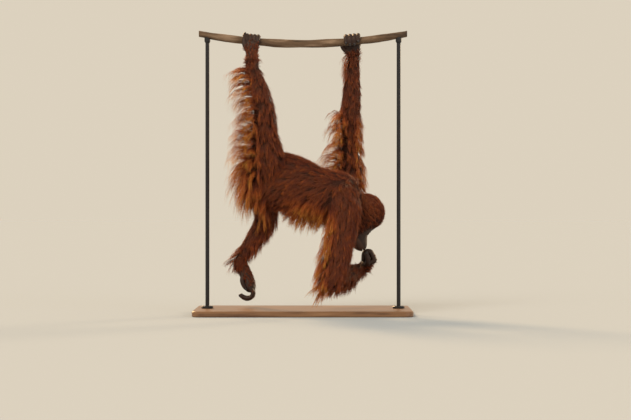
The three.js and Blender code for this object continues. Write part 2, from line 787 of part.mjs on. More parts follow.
// The line of a lock from its root: it leaves at its lift from the skin and bends as its weight takes it
function lockLine(root, normal, lie, { long, lift, fall, swerve }) {
  const side = new THREE.Vector3().crossVectors(normal, lie).normalize();
  const points = [root.clone().addScaledVector(normal, -LOCK.sink)];
  const step = long / (LOCK.rings - 1);
  let at = root.clone().addScaledVector(normal, 0.5);
  points.push(at.clone());
  for (let k = 1; k < LOCK.rings; k++) {
    const share = (k - 0.5) / (LOCK.rings - 1);
    const way = lie
      .clone()
      .multiplyScalar(Math.cos(lift) * (1 - 0.4 * share))
      .addScaledVector(normal, Math.sin(lift) * (1 - share))
      .addScaledVector(side, swerve * share)
      .addScaledVector(DOWN, fall * share * 1.6)
      .normalize();
    at = at.clone().addScaledVector(way, step);
    points.push(at);
  }
  return points;
}

// A closed strip of triangular section along a lock's line, widest a third of the way out
function lockSolid(line, normal, wide, grow = 0) {
  const positions = [];
  const index = [];
  const last = line.length - 1;
  for (let k = 0; k < last; k++) {
    const along = line[k + 1].clone().sub(line[Math.max(0, k - 1)]).normalize();
    const across = new THREE.Vector3().crossVectors(normal, along).normalize();
    const up = new THREE.Vector3().crossVectors(along, across);
    const half = (wide / 2) * LOCK.shares[k] + grow;
    const deep = (wide / 2) * LOCK.flat * LOCK.shares[k] + grow;
    const start = k === 0 ? -grow : 0;
    for (const [a, b] of [[-1, -0.6], [1, -0.6], [0, 1]]) {
      const corner = line[k].clone().addScaledVector(along, start).addScaledVector(across, a * half);
      positions.push(...corner.addScaledVector(up, b * deep));
    }
  }
  const tipWay = line[last].clone().sub(line[last - 1]).normalize();
  positions.push(...line[last].clone().addScaledVector(tipWay, grow));
  index.push(0, 2, 1);
  for (let k = 0; k + 1 < last; k++) {
    for (let j = 0; j < 3; j++) {
      const a = 3 * k + j;
      const b = 3 * k + ((j + 1) % 3);
      index.push(a, b, a + 3, b, b + 3, a + 3);
    }
  }
  const top = 3 * (last - 1);
  for (let j = 0; j < 3; j++) index.push(top + j, top + ((j + 1) % 3), 3 * last);
  const geometry = new THREE.BufferGeometry();
  geometry.setAttribute("position", new THREE.BufferAttribute(new Float32Array(positions), 3));
  geometry.setIndex(index);
  return solidOf(geometry);
}

const boxesMeet = (a, b) => [0, 1, 2].every((i) => a.min[i] <= b.max[i] && b.min[i] <= a.max[i]);

// Whether a grown lock touches any node but its own
function meetsOthers(own, solid, box) {
  for (const [name, node] of nodes) {
    if (name === own) continue;
    node.box ??= node.solid.boundingBox();
    if (boxesMeet(box, node.box) && !solid.intersect(node.solid).isEmpty()) return true;
    for (const lock of node.locks ?? []) {
      if (boxesMeet(box, lock.box) && !solid.intersect(lock.solid).isEmpty()) return true;
    }
  }
  return false;
}

// Sets one lock on a node. Where it would meet another node it is lifted and shortened, and at last left out.
function setLock(name, root, normal, lie, shape, wide) {
  const node = nodes.get(name);
  for (let attempt = 0; attempt < TRIES.count; attempt++) {
    const ease = attempt / TRIES.count;
    const long = shape.long * (1 - TRIES.shorter * ease);
    const line = lockLine(root, normal, lie, { ...shape, long, lift: shape.lift + TRIES.lifted * ease });
    if (Math.min(...line.map((p) => p.z)) < LOCK.floor) continue;
    const probe = lockSolid(line, normal, wide, LOCK.clear);
    const box = probe.boundingBox();
    if (meetsOthers(name, probe, box)) continue;
    (node.locks ??= []).push({ solid: lockSolid(line, normal, wide), box });
    return true;
  }
  return false;
}

// The coat's patches on each limb. A patch is the way its skin faces and how closely, its start and end
// along the limb, how many locks it has, the shortest and the longest, how wide they are, how the hair
// lies (1 is towards the limb's far end, -1 towards its root), its lift from the skin in radians, and how
// soon its weight takes it.
const PATCHES = {
  torso: [
    TORSO,
    [V(0, -0.25, -1), 0.72, 0.28, 0.72, 10, 55, 115, 43, -0.6, 0.7, 1.6],
    [V(-1, -0.3, 0), 0.1, 0, 0.3, 8, 85, 115, 43, -1, 1.1, 0.75],
    [V(0, -1, 0.3), 0.3, 0.08, 0.95, 11, 60, 90, 47, -0.8, 0.22, 0.55],
    [V(0, 1, 0.3), 0.3, 0.08, 0.95, 7, 60, 90, 47, -0.8, 0.22, 0.55],
    [V(0, 0, 1), 0.7, 0.1, 0.95, 5, 45, 70, 47, -1, 0.14, 0.1],
  ],
  thigh_right: [
    THIGH_RIGHT,
    [V(-1, -0.3, 0), 0.45, 0.3, 0.97, 7, 95, 130, 36, 0.35, 1.2, 0.95],
    [V(0.5, -1, 0), 0.3, 0.3, 0.97, 3, 45, 75, 36, -0.5, 0.25, 0.8],
  ],
  shank_right: [
    SHANK_RIGHT,
    [V(-1, -0.3, 0), 0.45, 0.03, 0.97, 7, 90, 120, 34, 0.4, 1.2, 0.95],
    [V(0.6, -1, 0), 0.2, 0.05, 0.95, 3, 35, 55, 34, -0.6, 0.3, 0.8],
  ],
  thigh_left: [
    THIGH_LEFT,
    [V(-0.8, 0.3, 0), 0.1, 0.35, 0.97, 4, 50, 85, 39, 1, 0.35, 0.8],
    [V(1, -0.4, 0), 0.3, 0.45, 0.97, 3, 45, 70, 39, 1, 0.25, 0.8],
  ],
  shank_left: [
    SHANK_LEFT,
    [V(0.8, -0.2, -0.5), 0.2, 0.05, 0.9, 3, 50, 80, 34, 1, 0.4, 1],
    [V(-1, -0.4, 0.4), 0.1, 0.05, 0.93, 3, 40, 60, 34, 1, 0.25, 0.5],
  ],
  upper_arm_left: [
    UPPER_ARM_LEFT,
    [V(-1, -0.2, 0), 0.45, 0.45, 1, 6, 90, 120, 36, 0.5, 1.15, 1],
    [V(1, -0.3, 0), 0.3, 0.3, 1, 3, 35, 60, 34, 0.4, 0.5, 1],
    [V(0, 1, 0), 0.5, 0.2, 1, 3, 50, 80, 36, 0.3, 0.4, 1],
  ],
  forearm_left: [
    FOREARM_LEFT,
    [V(-1, -0.2, 0), 0.45, 0.05, 0.95, 4, 40, 65, 31, -1, 0.3, 0.5],
    [V(1, -0.2, 0), 0.3, 0.05, 0.95, 3, 35, 50, 31, -1, 0.22, 0.4],
    [V(0, 1, 0), 0.6, 0.05, 0.95, 3, 40, 60, 34, -1, 0.25, 0.4],
  ],
  upper_arm_right: [
    UPPER_ARM_RIGHT,
    [V(0, -1, 0), 0.45, 0.25, 0.97, 7, 60, 90, 39, 1, 0.2, 0.4],
    [V(-1, -0.2, 0), 0.4, 0.35, 1, 5, 80, 115, 39, 1, 0.6, 0.8],
    [V(1, 0, 0), 0.5, 0.4, 1, 3, 35, 55, 36, 1, 0.18, 0.4],
  ],
  forearm_right: [
    FOREARM_RIGHT,
    [V(-0.2, -0.3, -1), 0.4, 0.02, 0.85, 5, 60, 100, 34, -0.5, 0.6, 1.0],
    [V(0.7, -0.7, 0.2), 0.4, 0.1, 0.9, 3, 40, 65, 34, -1, 0.2, 0.5],
  ],
  neck: [
    NECK,
    [V(0, -1, 0.3), 0.2, 0.1, 0.8, 3, 35, 55, 36, -1, 0.2, 0.3],
  ],
};

// Places are drawn at random, apart from each other, and closer as the patch fills
const DRAW = { each: 40, round: 80, closer: 0.85, apart: 1.347 };

function plant(node, limb, [face, spread, from, to, count, shortest, longest, wide, lie, lift, fall]) {
  const facing = face.clone().normalize();
  const placed = [];
  const own = nodes.get(node).solid;
  let apart = Math.sqrt((limb.length * (to - from) * wide) / count) * DRAW.apart;
  for (let k = 0; k < count * DRAW.each && placed.length < count; k++) {
    if (k % DRAW.round === DRAW.round - 1) apart *= DRAW.closer;
    const u = between(from, to);
    const { point, normal, along } = limb.surface(u, between(0, 2 * Math.PI));
    if (normal.dot(facing) < spread || placed.some((p) => p.distanceTo(point) < apart)) continue;
    if (!rootsIn(own, point, normal)) continue;
    const way = along.clone().multiplyScalar(lie).addScaledVector(DOWN, 1 - Math.abs(lie));
    way.addScaledVector(normal, -way.dot(normal)).normalize();
    const shape = {
      long: between(shortest, longest),
      lift: lift * between(...VARIED),
      fall: fall * between(...VARIED),
      swerve: between(-0.35, 0.35),
    };
    if (setLock(node, point, normal, way, shape, wide * between(...VARIED))) placed.push(point);
  }
}

// Whether a root's place is on the node's own outer surface, not under a neighbour or past a joint's plane
function rootsIn(solid, point, normal) {
  const inner = point.clone().addScaledVector(normal, -LOCK.sink * 0.9);
  const size = 0.6;
  const probe = ellipsoid(inner, V(size, size, size), 4, 3);
  return Math.abs(probe.intersect(solid).volume() - probe.volume()) < 1e-4;
}

for (const [node, [limb, ...patches]] of Object.entries(PATCHES)) {
  for (const patch of patches) plant(node, limb, patch);
}
for (const node of nodes.values()) {
  const locks = (node.locks ?? []).map((lock) => lock.solid);
  if (locks.length) node.solid = largest(fuse([node.solid, ...locks]));
}

const orangutan = new THREE.Group();
orangutan.name = "orangutan_on_liana";
for (const [name, { solid, finish }] of nodes) {
  const mesh = new THREE.Mesh(geometryOf(solid), new THREE.MeshStandardMaterial(finish));
  mesh.name = name;
  orangutan.add(mesh);
}

export default orangutan;
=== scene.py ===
"""An orangutan that hangs from a liana by one hand and one foot, on a plain display stand.

Lengths are metres, and millimetres in the tables and in the head's own frame. +Z is up, +X towards the
head and +Y to the animal's left, as in the frame it is built on.
"""

import math

import bpy
import numpy as np
from bpy.props import FloatProperty, FloatVectorProperty, IntProperty, PointerProperty
from mathutils import Matrix, Vector
from mathutils.bvhtree import BVHTree


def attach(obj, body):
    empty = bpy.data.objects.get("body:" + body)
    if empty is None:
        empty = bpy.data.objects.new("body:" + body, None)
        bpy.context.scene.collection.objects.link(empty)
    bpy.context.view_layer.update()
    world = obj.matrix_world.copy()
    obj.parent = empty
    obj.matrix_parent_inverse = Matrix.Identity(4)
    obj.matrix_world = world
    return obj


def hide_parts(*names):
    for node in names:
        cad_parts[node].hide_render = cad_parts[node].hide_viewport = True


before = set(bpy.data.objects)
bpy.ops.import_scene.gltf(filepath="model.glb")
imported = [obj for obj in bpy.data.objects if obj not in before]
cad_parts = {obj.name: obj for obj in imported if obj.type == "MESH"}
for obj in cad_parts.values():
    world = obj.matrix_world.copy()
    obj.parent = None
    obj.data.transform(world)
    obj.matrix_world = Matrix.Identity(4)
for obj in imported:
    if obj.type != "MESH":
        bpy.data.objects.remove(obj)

bl_info = {
    "name": "Orangutan on a liana",
    "version": (1, 0, 0),
    "blender": (4, 5, 0),
    "location": "View3D > Sidebar > Orangutan",
    "description": "Builds a life-size orangutan that hangs from a liana on a display stand",
    "category": "Add Mesh",
}

MM = 0.001
SIDE_X = (1, 0, 0)
SIDE_Y = (0, 1, 0)
SIDE_Z = (0, 0, 1)

# Stations of each length of the body, in millimetres: the centre, the half width along the side direction
# and the half depth
LIMBS = {
    "torso": (SIDE_Y, [
        (-238, 0, 662, 92, 100), (-200, 0, 668, 112, 128), (-165, 0, 670, 122, 144),
        (-90, 0, 662, 134, 142), (-15, 0, 641, 140, 134), (60, 0, 617, 144, 118), (135, 0, 600, 148, 118),
        (190, 0, 590, 136, 116), (222, 0, 578, 108, 98),
    ]),
    "neck": (SIDE_Y, [(200, 0, 575, 84, 82), (245, 0, 548, 76, 76), (285, 0, 520, 66, 66)]),
    "upper_arm_left": (SIDE_X, [
        (205, 80, 590, 62, 62), (232, 116, 650, 66, 64), (236, 104, 780, 47, 48), (238, 86, 920, 42, 43),
        (240, 76, 1004, 44, 45),
    ]),
    "forearm_left": (SIDE_X, [
        (240, 76, 1004, 44, 45), (243, 66, 1078, 46, 44), (248, 52, 1180, 37, 36), (253, 38, 1288, 27, 27),
    ]),
    "palm_left": (SIDE_X, [(253, 38, 1288, 27, 25), (250, 35, 1325, 36, 18), (246, 33, 1356, 42, 14)]),
    "upper_arm_right": (SIDE_X, [
        (200, -95, 585, 70, 70), (208, -136, 522, 72, 66), (194, -168, 405, 64, 56),
        (170, -204, 280, 60, 50), (148, -226, 186, 52, 46),
    ]),
    "forearm_right": (SIDE_Z, [
        (148, -226, 186, 52, 46), (186, -162, 186, 54, 46), (242, -66, 204, 43, 38), (292, 24, 222, 29, 27),
    ]),
    "palm_right": (SIDE_Y, [(292, 24, 222, 28, 26), (316, 14, 245, 38, 27), (340, 10, 262, 41, 18)]),
    "thigh_right": (SIDE_X, [
        (-165, -45, 690, 76, 70), (-175, -72, 745, 84, 76), (-190, -100, 880, 62, 58),
        (-195, -116, 1010, 48, 46),
    ]),
    "shank_right": (SIDE_X, [
        (-195, -116, 1010, 48, 46), (-212, -108, 1090, 43, 42), (-238, -82, 1185, 36, 35),
        (-255, -58, 1255, 28, 28),
    ]),
    "foot_right": (SIDE_X, [
        (-255, -58, 1255, 28, 28), (-254, -46, 1305, 30, 21), (-253, -34, 1352, 37, 15),
    ]),
    "thigh_left": (SIDE_X, [
        (-190, 45, 745, 74, 68), (-205, 72, 712, 82, 76), (-196, 116, 595, 66, 62),
        (-185, 148, 485, 52, 50),
    ]),
    "shank_left": (SIDE_Y, [
        (-185, 148, 485, 52, 50), (-215, 142, 425, 49, 47), (-268, 128, 345, 38, 37),
        (-322, 112, 262, 28, 27),
    ]),
    "foot_left": (SIDE_Y, [
        (-322, 112, 262, 28, 27), (-298, 108, 208, 30, 30), (-276, 104, 155, 36, 30),
        (-267, 102, 124, 38, 26),
    ]),
}
HAIRY = ["torso", "neck", "upper_arm_left", "forearm_left", "upper_arm_right", "forearm_right",
         "thigh_right", "shank_right", "thigh_left", "shank_left"]
# The hands and feet, and the way the back of each one faces
BARE = {
    "palm_left": (0, 1, 0), "palm_right": (0.6, 0, -0.8),
    "foot_right": (0, -1, 0), "foot_left": (1, 0, 0.2),
}
DOWN = np.array((0, 0, -1))

# The liana: height of its lowest place, rise to its ends, half length, and the radius that digits clear
LIANA_LOW, LIANA_RISE, LIANA_HALF, LIANA_RADIUS = 1351, 50, 520, 19.5
LIANA_RINGS, LIANA_SIDES = 260, 48

# The head's own frame: its origin is the root of the nose, and its axes run forward, left and up
NOSE_ROOT = np.array([320.0, 0, 418])
PITCH = math.radians(60)
FORWARD = (math.cos(PITCH), 0, -math.sin(PITCH))
UPWARD = (math.sin(PITCH), 0, math.cos(PITCH))
HEAD_AXES = np.array(Matrix((FORWARD, SIDE_Y, UPWARD)).transposed())
# Masses of the head: how far forward, left and up the centre lies, then the three radii
HEAD_MASSES = [
    (-80, 0, 57, 84, 69, 73),
    (-30, 0, 26, 34, 48, 32),
    (-22, 0, -20, 36, 42, 36),
    (-30, 40, -34, 30, 20, 38),
    (-30, -40, -34, 30, 20, 38),
    (8, 0, -50, 42, 36, 28),
    (36, 0, -56, 30, 29, 17),
    (28, 0, -80, 32, 27, 17),
    (-24, 0, -76, 46, 42, 34),
    (-80, 0, -20, 56, 54, 62),
]
HEAD_BLEND = 11.0
# Where rays start that look for the head's surface, and how far they look: all round, and ahead only
HEAD_MIDDLE, HEAD_REACH, FACE_REACH = -36.0, 260.0, 120.0
EYE_RADIUS = 10.6

# The picture's width in pixels, what one of them spans at the animal, and what its middle shows
PHOTO_WIDE = 631
PIXEL = 5.0
FRAME_MIDDLE = (62.5, 0, 520)

# The studio: its wall's colour, and each lamp's way, power, colour and softness in degrees
WALL, WALL_LIGHT = "f3e7d2", 0.8
LAMPS = {
    "key": ((-0.6, -1, 0.85), 1.7, "fff0dc", 30),
    "fill": ((0.9, -0.8, 0.25), 0.5, "f6f0ff", 40),
    "rim": ((-0.6, 1, 0.75), 3.4, "ffd29a", 14),
    "rim_fore": ((0.9, 1, 0.35), 1.8, "ffdcae", 14),
}
FLOOR_SIZE = 160


def smooth(low, high, x):
    """0 below low, 1 above high, and an easy curve between them."""
    t = np.clip((x - low) / (high - low), 0, 1)
    return t * t * (3 - 2 * t)


def catmull(points, count):
    """A smooth line of count points through the given ones, with its columns treated alike."""
    p = np.asarray(points, float)
    p = np.vstack([2 * p[0] - p[1], p, 2 * p[-1] - p[-2]])
    t = np.linspace(0, len(p) - 3 - 1e-9, count)
    i = t.astype(int)
    f = (t - i)[:, None]
    a, b, c, d = p[i], p[i + 1], p[i + 2], p[i + 3]
    square = 2 * a - 5 * b + 4 * c - d
    cube = 3 * b - a - 3 * c + d
    return 0.5 * (2 * b + (c - a) * f + square * f**2 + cube * f**3)


def unit(v):
    v = np.asarray(v, float)
    return v / np.maximum(np.linalg.norm(v, axis=-1, keepdims=True), 1e-12)


# Angles of the rings that close a tube's round ends
END_RINGS = (0.45, 0.9, 1.3)


class Tube:
    """A length of the body: elliptical sections along a smooth line, in metres."""

    def __init__(self, side, stations, rings=24):
        rows = catmull([(*s[:4], s[-1]) for s in stations], rings)
        self.centre = rows[:, :3] * MM
        self.wide = rows[:, 3] * MM
        self.deep = rows[:, 4] * MM
        self.along = unit(np.gradient(self.centre, axis=0))
        side = np.asarray(side, float)
        across = side - self.along * (self.along @ side)[:, None]
        self.across = unit(across)
        self.up = np.cross(self.along, self.across)

    def nearest(self, point):
        """Share of the length, angle, half widths out from the middle, and way along, at places near."""
        gap = point[:, None, :] - self.centre[None]
        k = np.argmin((gap**2).sum(axis=2), axis=1)
        offset = point - self.centre[k]
        a = (offset * self.across[k]).sum(axis=1) / self.wide[k]
        b = (offset * self.up[k]).sum(axis=1) / self.deep[k]
        c = (offset * self.along[k]).sum(axis=1) / self.deep[k]
        return k / (len(self.centre) - 1), np.arctan2(b, a), np.sqrt(a * a + b * b + c * c), self.along[k]

    def mesh(self, sides, grow, bulge):
        """Vertices and faces of the closed tube, grown all round, with round ends that bulge."""
        turn = np.linspace(0, 2 * math.pi, sides, endpoint=False)
        rows = [(0, -math.sin(a)) for a in reversed(END_RINGS)]
        rows += [(k, 0.0) for k in range(len(self.centre))]
        rows += [(len(self.centre) - 1, math.sin(a)) for a in END_RINGS]
        points = []
        for k, over in rows:
            shrink = math.sqrt(1 - over * over)
            reach = min(self.wide[k], self.deep[k]) * bulge
            middle = self.centre[k] + self.along[k] * over * reach
            ring = middle + shrink * (
                np.outer(np.cos(turn) * (self.wide[k] + grow), self.across[k])
                + np.outer(np.sin(turn) * (self.deep[k] + grow), self.up[k])
            )
            points.append(ring)
        return np.vstack(points), ring_faces(len(rows), sides)


def ring_faces(rings, sides):
    """Faces between rings of points, with the first and the last ring closed."""
    faces = []
    for r in range(rings - 1):
        for j in range(sides):
            n = (j + 1) % sides
            faces.append((r * sides + j, r * sides + n, (r + 1) * sides + n, (r + 1) * sides + j))
    faces.append(tuple(range(sides - 1, -1, -1)))
    faces.append(tuple(range((rings - 1) * sides, rings * sides)))
    return faces


TUBES = {name: Tube(side, stations) for name, (side, stations) in LIMBS.items()}


def placed(name, data):
    """A new object of the scene that shows data."""
    obj = bpy.data.objects.new(name, data)
    bpy.context.scene.collection.objects.link(obj)
    return obj


def add_object(name, verts, faces):
    """A mesh object from points in metres."""
    mesh = bpy.data.meshes.new(name)
    mesh.from_pydata([tuple(v) for v in verts], [], [tuple(f) for f in faces])
    mesh.update()
    return placed(name, mesh)


def only(obj):
    """Makes obj the one selected and active object."""
    bpy.ops.object.select_all(action="DESELECT")
    obj.select_set(True)
    bpy.context.view_layer.objects.active = obj


def joined(objects, name):
    """The objects as one."""
    only(objects[0])
    for obj in objects[1:]:
        obj.select_set(True)
    bpy.ops.object.join()
    objects[0].name = name
    return objects[0]


def modified(obj, kind, **values):
    """Applies one modifier to obj."""
    only(obj)
    made = obj.modifiers.new(kind, kind)
    for name, value in values.items():
        setattr(made, name, value)
    bpy.ops.object.modifier_apply(modifier=made.name)
    return obj


def remeshed(obj, voxel, relax):
    """Melts the closed pieces of obj into one skin with soft blends between them."""
    modified(obj, "REMESH", mode="VOXEL", voxel_size=voxel)
    return modified(obj, "SMOOTH", factor=0.5, iterations=relax)


def set_attribute(mesh, name, values):
    """Stores one number for each vertex, for a material to read."""
    data = mesh.attributes.new(name, "FLOAT", "POINT").data
    data.foreach_set("value", np.asarray(values, np.float32))


def shade(obj, mat):
    """Gives obj one material and smooth faces."""
    obj.data.materials.clear()
    obj.data.materials.append(mat)
    obj.data.polygons.foreach_set("use_smooth", [True] * len(obj.data.polygons))
    obj.data.update()


def points_of(obj):
    co = np.empty(len(obj.data.vertices) * 3)
    obj.data.vertices.foreach_get("co", co)
    return co.reshape(-1, 3)


def normals_of(obj):
    no = np.empty(len(obj.data.vertices) * 3)
    obj.data.vertices.foreach_get("normal", no)
    return no.reshape(-1, 3)


def set_points(obj, co):
    obj.data.vertices.foreach_set("co", np.asarray(co, float).ravel())
    obj.data.update()


def noise(points, size, seed=0):
    """Smooth value noise between -1 and 1 at points, with bumps of about the given size."""
    p = np.asarray(points) / size + 37.3 * (seed + 1)
    cell = np.floor(p).astype(np.int64)
    f = p - cell
    f = f * f * (3 - 2 * f)
    total = np.zeros(len(p))
    for corner in range(8):
        offset = np.array([corner & 1, (corner >> 1) & 1, (corner >> 2) & 1])
        c = cell + offset
        h = (c[:, 0] * 73856093) ^ (c[:, 1] * 19349663) ^ (c[:, 2] * 83492791) ^ (seed * 2654435761)
        value = ((h & 0xFFFF) / 32767.5) - 1
        weight = np.prod(np.where(offset == 1, f, 1 - f), axis=1)
        total += value * weight
    return total


# The head's shape

def head_distance(p):
    """How far points of the head's frame lie outside its blended masses, in millimetres."""
    total = 0
    for x, y, z, a, b, c in HEAD_MASSES:
        share = np.sqrt(((p - (x, y, z)) / (a, b, c)) ** 2 @ np.ones(3))
        total = total + np.exp(-(share - 1) * min(a, b, c) / HEAD_BLEND)
    return -HEAD_BLEND * np.log(total)


def surface_along(start, rays, low, high, halvings):
    """How far along rays from start the head's surface lies, between low and high, in millimetres."""
    low, high = np.full(len(rays), low), np.full(len(rays), high)
    for _ in range(halvings):
        middle = (low + high) / 2
        outside = head_distance(start + rays * middle[:, None]) > 0
        high = np.where(outside, middle, high)
        low = np.where(outside, low, middle)
    return low


def face_forward(left, up):
    """How far forward the face stands at a place across and up it, in millimetres."""
    ahead = np.array([SIDE_X])
    return surface_along(np.array([0, left, up]), ahead, HEAD_MIDDLE, FACE_REACH, 30)[0]


# Places on the face, in the head's frame
EYE_APART, EYE_UP, EYE_SHOWN = 22, -7, 3.6
EYE_FORWARD = face_forward(EYE_APART, EYE_UP) + EYE_SHOWN - EYE_RADIUS
LID_LINE, LID_HALF, LID_UPPER, LID_LOWER = -1.0, 9.4, 3.6, 3.0
MOUTH_UP, MOUTH_HALF, MOUTH_CURL = -68, 27, 5
NOSTRIL_APART, NOSTRIL_UP = 6.5, -30
EAR_FORWARD, EAR_UP = -84, -6
# Swells and hollows of the face, alike on both sides: height, centre and radii
FACE_FORMS = {
    "brow": (5.0, (EYE_FORWARD + 8, 19, 9), (18, 22, 9)),
    "eye_socket": (-4.0, (EYE_FORWARD + 8, EYE_APART, EYE_UP), (18, 14, 11)),
    "under_eye": (2.4, (EYE_FORWARD + 8, EYE_APART + 2, EYE_UP - 17), (14, 15, 8)),
    "nose_wing": (3.6, (22, 7, NOSTRIL_UP + 2), (14, 6.5, 6.5)),
    "nostril": (-6.5, (24, NOSTRIL_APART, NOSTRIL_UP - 2.5), (14, 4.2, 3.4)),
}


def in_head(points):
    """Points of the head's frame, in millimetres, as places in metres."""
    return (np.asarray(points, float) @ HEAD_AXES.T + NOSE_ROOT) * MM


def to_head(points):
    """Places in metres as points of the head's frame, in millimetres."""
    return (np.asarray(points) / MM - NOSE_ROOT) @ HEAD_AXES


def bump(p, centre, radii):
    """1 at centre and 0 past the radii, in the head's frame."""
    share = np.sqrt((((p - centre) / radii) ** 2).sum(axis=1))
    return 1 - smooth(0, 1, share)


def head_surface():
    """A fine mesh of the head, closest at the face, with its folds, lips, nostrils and eye hollows."""
    bpy.ops.mesh.primitive_ico_sphere_add(subdivisions=7, radius=1)
    obj = bpy.context.object
    obj.name = "head_skin"
    rays = unit(points_of(obj))
    axis = unit((0.8, 0, -0.45))
    polar = np.arccos(np.clip(rays @ axis, -1, 1))
    eased = math.pi * (polar / math.pi) ** 1.5
    sideways = unit(rays - np.outer(rays @ axis, axis))
    rays = np.outer(np.cos(eased), axis) + sideways * np.sin(eased)[:, None]
    middle = np.array([HEAD_MIDDLE, 0, 0])
    p = middle + rays * surface_along(middle, rays, 0.0, HEAD_REACH, 24)[:, None]
    side = np.abs(p[:, 1])
    mirror = np.column_stack([p[:, 0], side, p[:, 2]])
    face = smooth(-30, 5, p[:, 0])
    rise = np.zeros(len(p))
    for height, centre, radii in FACE_FORMS.values():
        rise += height * bump(mirror, centre, radii)
    # the narrow bridge of the nose
    rise += 3.4 * bump(mirror, (6, 0, -18), (16, 6, 17)) * face
    # the mouth's line between two swollen lips
    line = MOUTH_UP + MOUTH_CURL * (p[:, 1] / MOUTH_HALF) ** 2
    across = smooth(MOUTH_HALF + 5, MOUTH_HALF - 6, side) * face
    gap = p[:, 2] - line
    rise -= 6.0 * np.exp(-((gap / 1.7) ** 2)) * across
    rise += 2.6 * np.exp(-(((gap - 6) / 4.2) ** 2)) * across
    rise += 2.4 * np.exp(-(((gap + 6.5) / 4.4) ** 2)) * across
    # fine folds: rings under the eyes, upright pleats over the lips, fine grain
    eye_way = np.hypot(mirror[:, 1] - EYE_APART, (p[:, 2] - EYE_UP) * 1.15)
    rings = np.exp(-(((eye_way - 19) / 8) ** 2)) * face
    rings *= 0.65 + 0.5 * noise(p, 22, 6)
    rise += 0.45 * np.sin(eye_way * 1.5 + 2.6 * noise(p, 15, 2)) * rings
    pleats = np.exp(-(((gap - 12) / 9) ** 2)) + np.exp(-(((gap + 12) / 8) ** 2))
    rise += 0.45 * np.sin(p[:, 1] * 1.5 + 1.6 * noise(p, 14, 5)) * pleats * across
    rise += (0.5 * noise(p, 7, 3) + 0.3 * noise(p, 3, 4)) * smooth(-60, -10, p[:, 0])
    set_points(obj, in_head(p))
    normals = normals_of(obj)
    set_points(obj, points_of(obj) + normals * (rise * MM)[:, None])
    return modified(obj, "DECIMATE", ratio=0.3)


# Digits, in millimetres: how far apart they stand, and the middle of each row of four
FINGER_STEP, TOE_STEP = 20.6, 18.6
GRIP_HAND_X, GRIP_FOOT_X = 245, -251
FIST_Y, FREE_FOOT_Y = 10, 102


def liana_height(x):
    return LIANA_LOW + LIANA_RISE * (x / LIANA_HALF) ** 2


def hooked(x, from_side, radius, sweep):
    """Stations of a digit that hooks over the liana."""
    reach = LIANA_RADIUS + radius + 0.5
    stations = []
    for k in range(9):
        angle = math.radians(-18 + sweep * k / 8)
        size = radius * (1 - 0.08 * k / 8) * (1.2 if k in (3, 6) else 1.08)
        height = liana_height(x) + reach * math.sin(angle)
        stations.append((x, from_side * reach * math.cos(angle), height, size, size))
    return stations


def digit_tubes():
    """Every finger and toe by its name."""
    found = {}
    for i, sweep in enumerate((205, 222, 220, 200)):
        found[f"finger_left_{i}"] = (SIDE_X, hooked(GRIP_HAND_X + (i - 1.5) * FINGER_STEP, 1, 10, sweep))
    for i, sweep in enumerate((205, 216, 210, 190)):
        found[f"toe_right_{i}"] = (SIDE_X, hooked(GRIP_FOOT_X + (i - 1.5) * TOE_STEP, -1, 9, sweep))
    found["thumb_left"] = (SIDE_X, [(222, 34, 1312, 11), (203, 30, 1328, 10), (193, 22, 1345, 8.5),
                                    (190, 26, 1364, 7.5)])
    found["hallux_right"] = (SIDE_X, [(-270, -46, 1306, 13), (-289, -43, 1338, 12), (-294, -36, 1370, 11),
                                      (-290, -18, 1394, 10)])
    # the right hand is a loose fist before the lips
    for i, spread in enumerate((0, 3, 2, -4)):
        y = FIST_Y + (i - 1.5) * FINGER_STEP
        found[f"finger_right_{i}"] = (SIDE_Y, [(336, y, 257, 11), (355 + spread, y, 267, 12),
                                               (348 + spread, y, 290, 11.4), (335 + spread, y, 312, 11.8),
                                               (317 + spread, y, 313, 10.8), (305, y, 299, 11),
                                               (302, y, 276, 9.8)])
    found["thumb_right"] = (SIDE_X, [(314, -8, 240, 13), (323, -31, 257, 13.5), (323, -40, 280, 12.6),
                                     (317, -38, 302, 10.5)])
    for i, spread in enumerate((-3, 2, 2, -2)):
        y = FREE_FOOT_Y + (i - 1.5) * TOE_STEP
        found[f"toe_left_{i}"] = (SIDE_Y, [(-264, y, 122, 10.5), (-253, y, 100 - spread, 11.2),
                                           (-262, y, 80 - spread, 10.4), (-282, y, 73 - spread, 11),
                                           (-301, y, 78 - spread, 9.8), (-313, y, 87 - spread, 9)])
    found["hallux_left"] = (SIDE_X, [(-300, 86, 194, 12), (-307, 70, 170, 11.5), (-303, 66, 147, 10.5),
                                     (-292, 68, 127, 9.5)])
    return {name: Tube(side, stations, 20) for name, (side, stations) in found.items()}


def tube_object(name, tube, sides, grow=0.0, bulge=1.0):
    return add_object(name, *tube.mesh(sides, grow, bulge))


def ball(segments, rings):
    """A closed ball of radius 1."""
    bpy.ops.mesh.primitive_uv_sphere_add(segments=segments, ring_count=rings, radius=1)
    return bpy.context.object


def ellipsoid(name, centre, radii, rings, axes=None):
    """A closed ellipsoid, its centre and radii in metres."""
    obj = ball(rings * 2, rings)
    obj.name = name
    p = points_of(obj) * np.asarray(radii)
    if axes is not None:
        p = p @ np.array(axes).T
    set_points(obj, p + np.asarray(centre))
    return obj


# Materials

def rgb(hexa):
    """A linear colour from a written one."""
    parts = [int(hexa[i:i + 2], 16) / 255 for i in (0, 2, 4)]
    return tuple((c / 12.92 if c <= 0.04045 else ((c + 0.055) / 1.055) ** 2.4) for c in parts) + (1.0,)


def opaque(colour):
    """A colour of three parts with its alpha."""
    return (*colour, 1.0)


def set_inputs(node, values):
    """Sets a node's inputs by their names."""
    for name, value in values.items():
        node.inputs[name].default_value = value


def shader_of(made):
    return made.node_tree.nodes["Principled BSDF"]


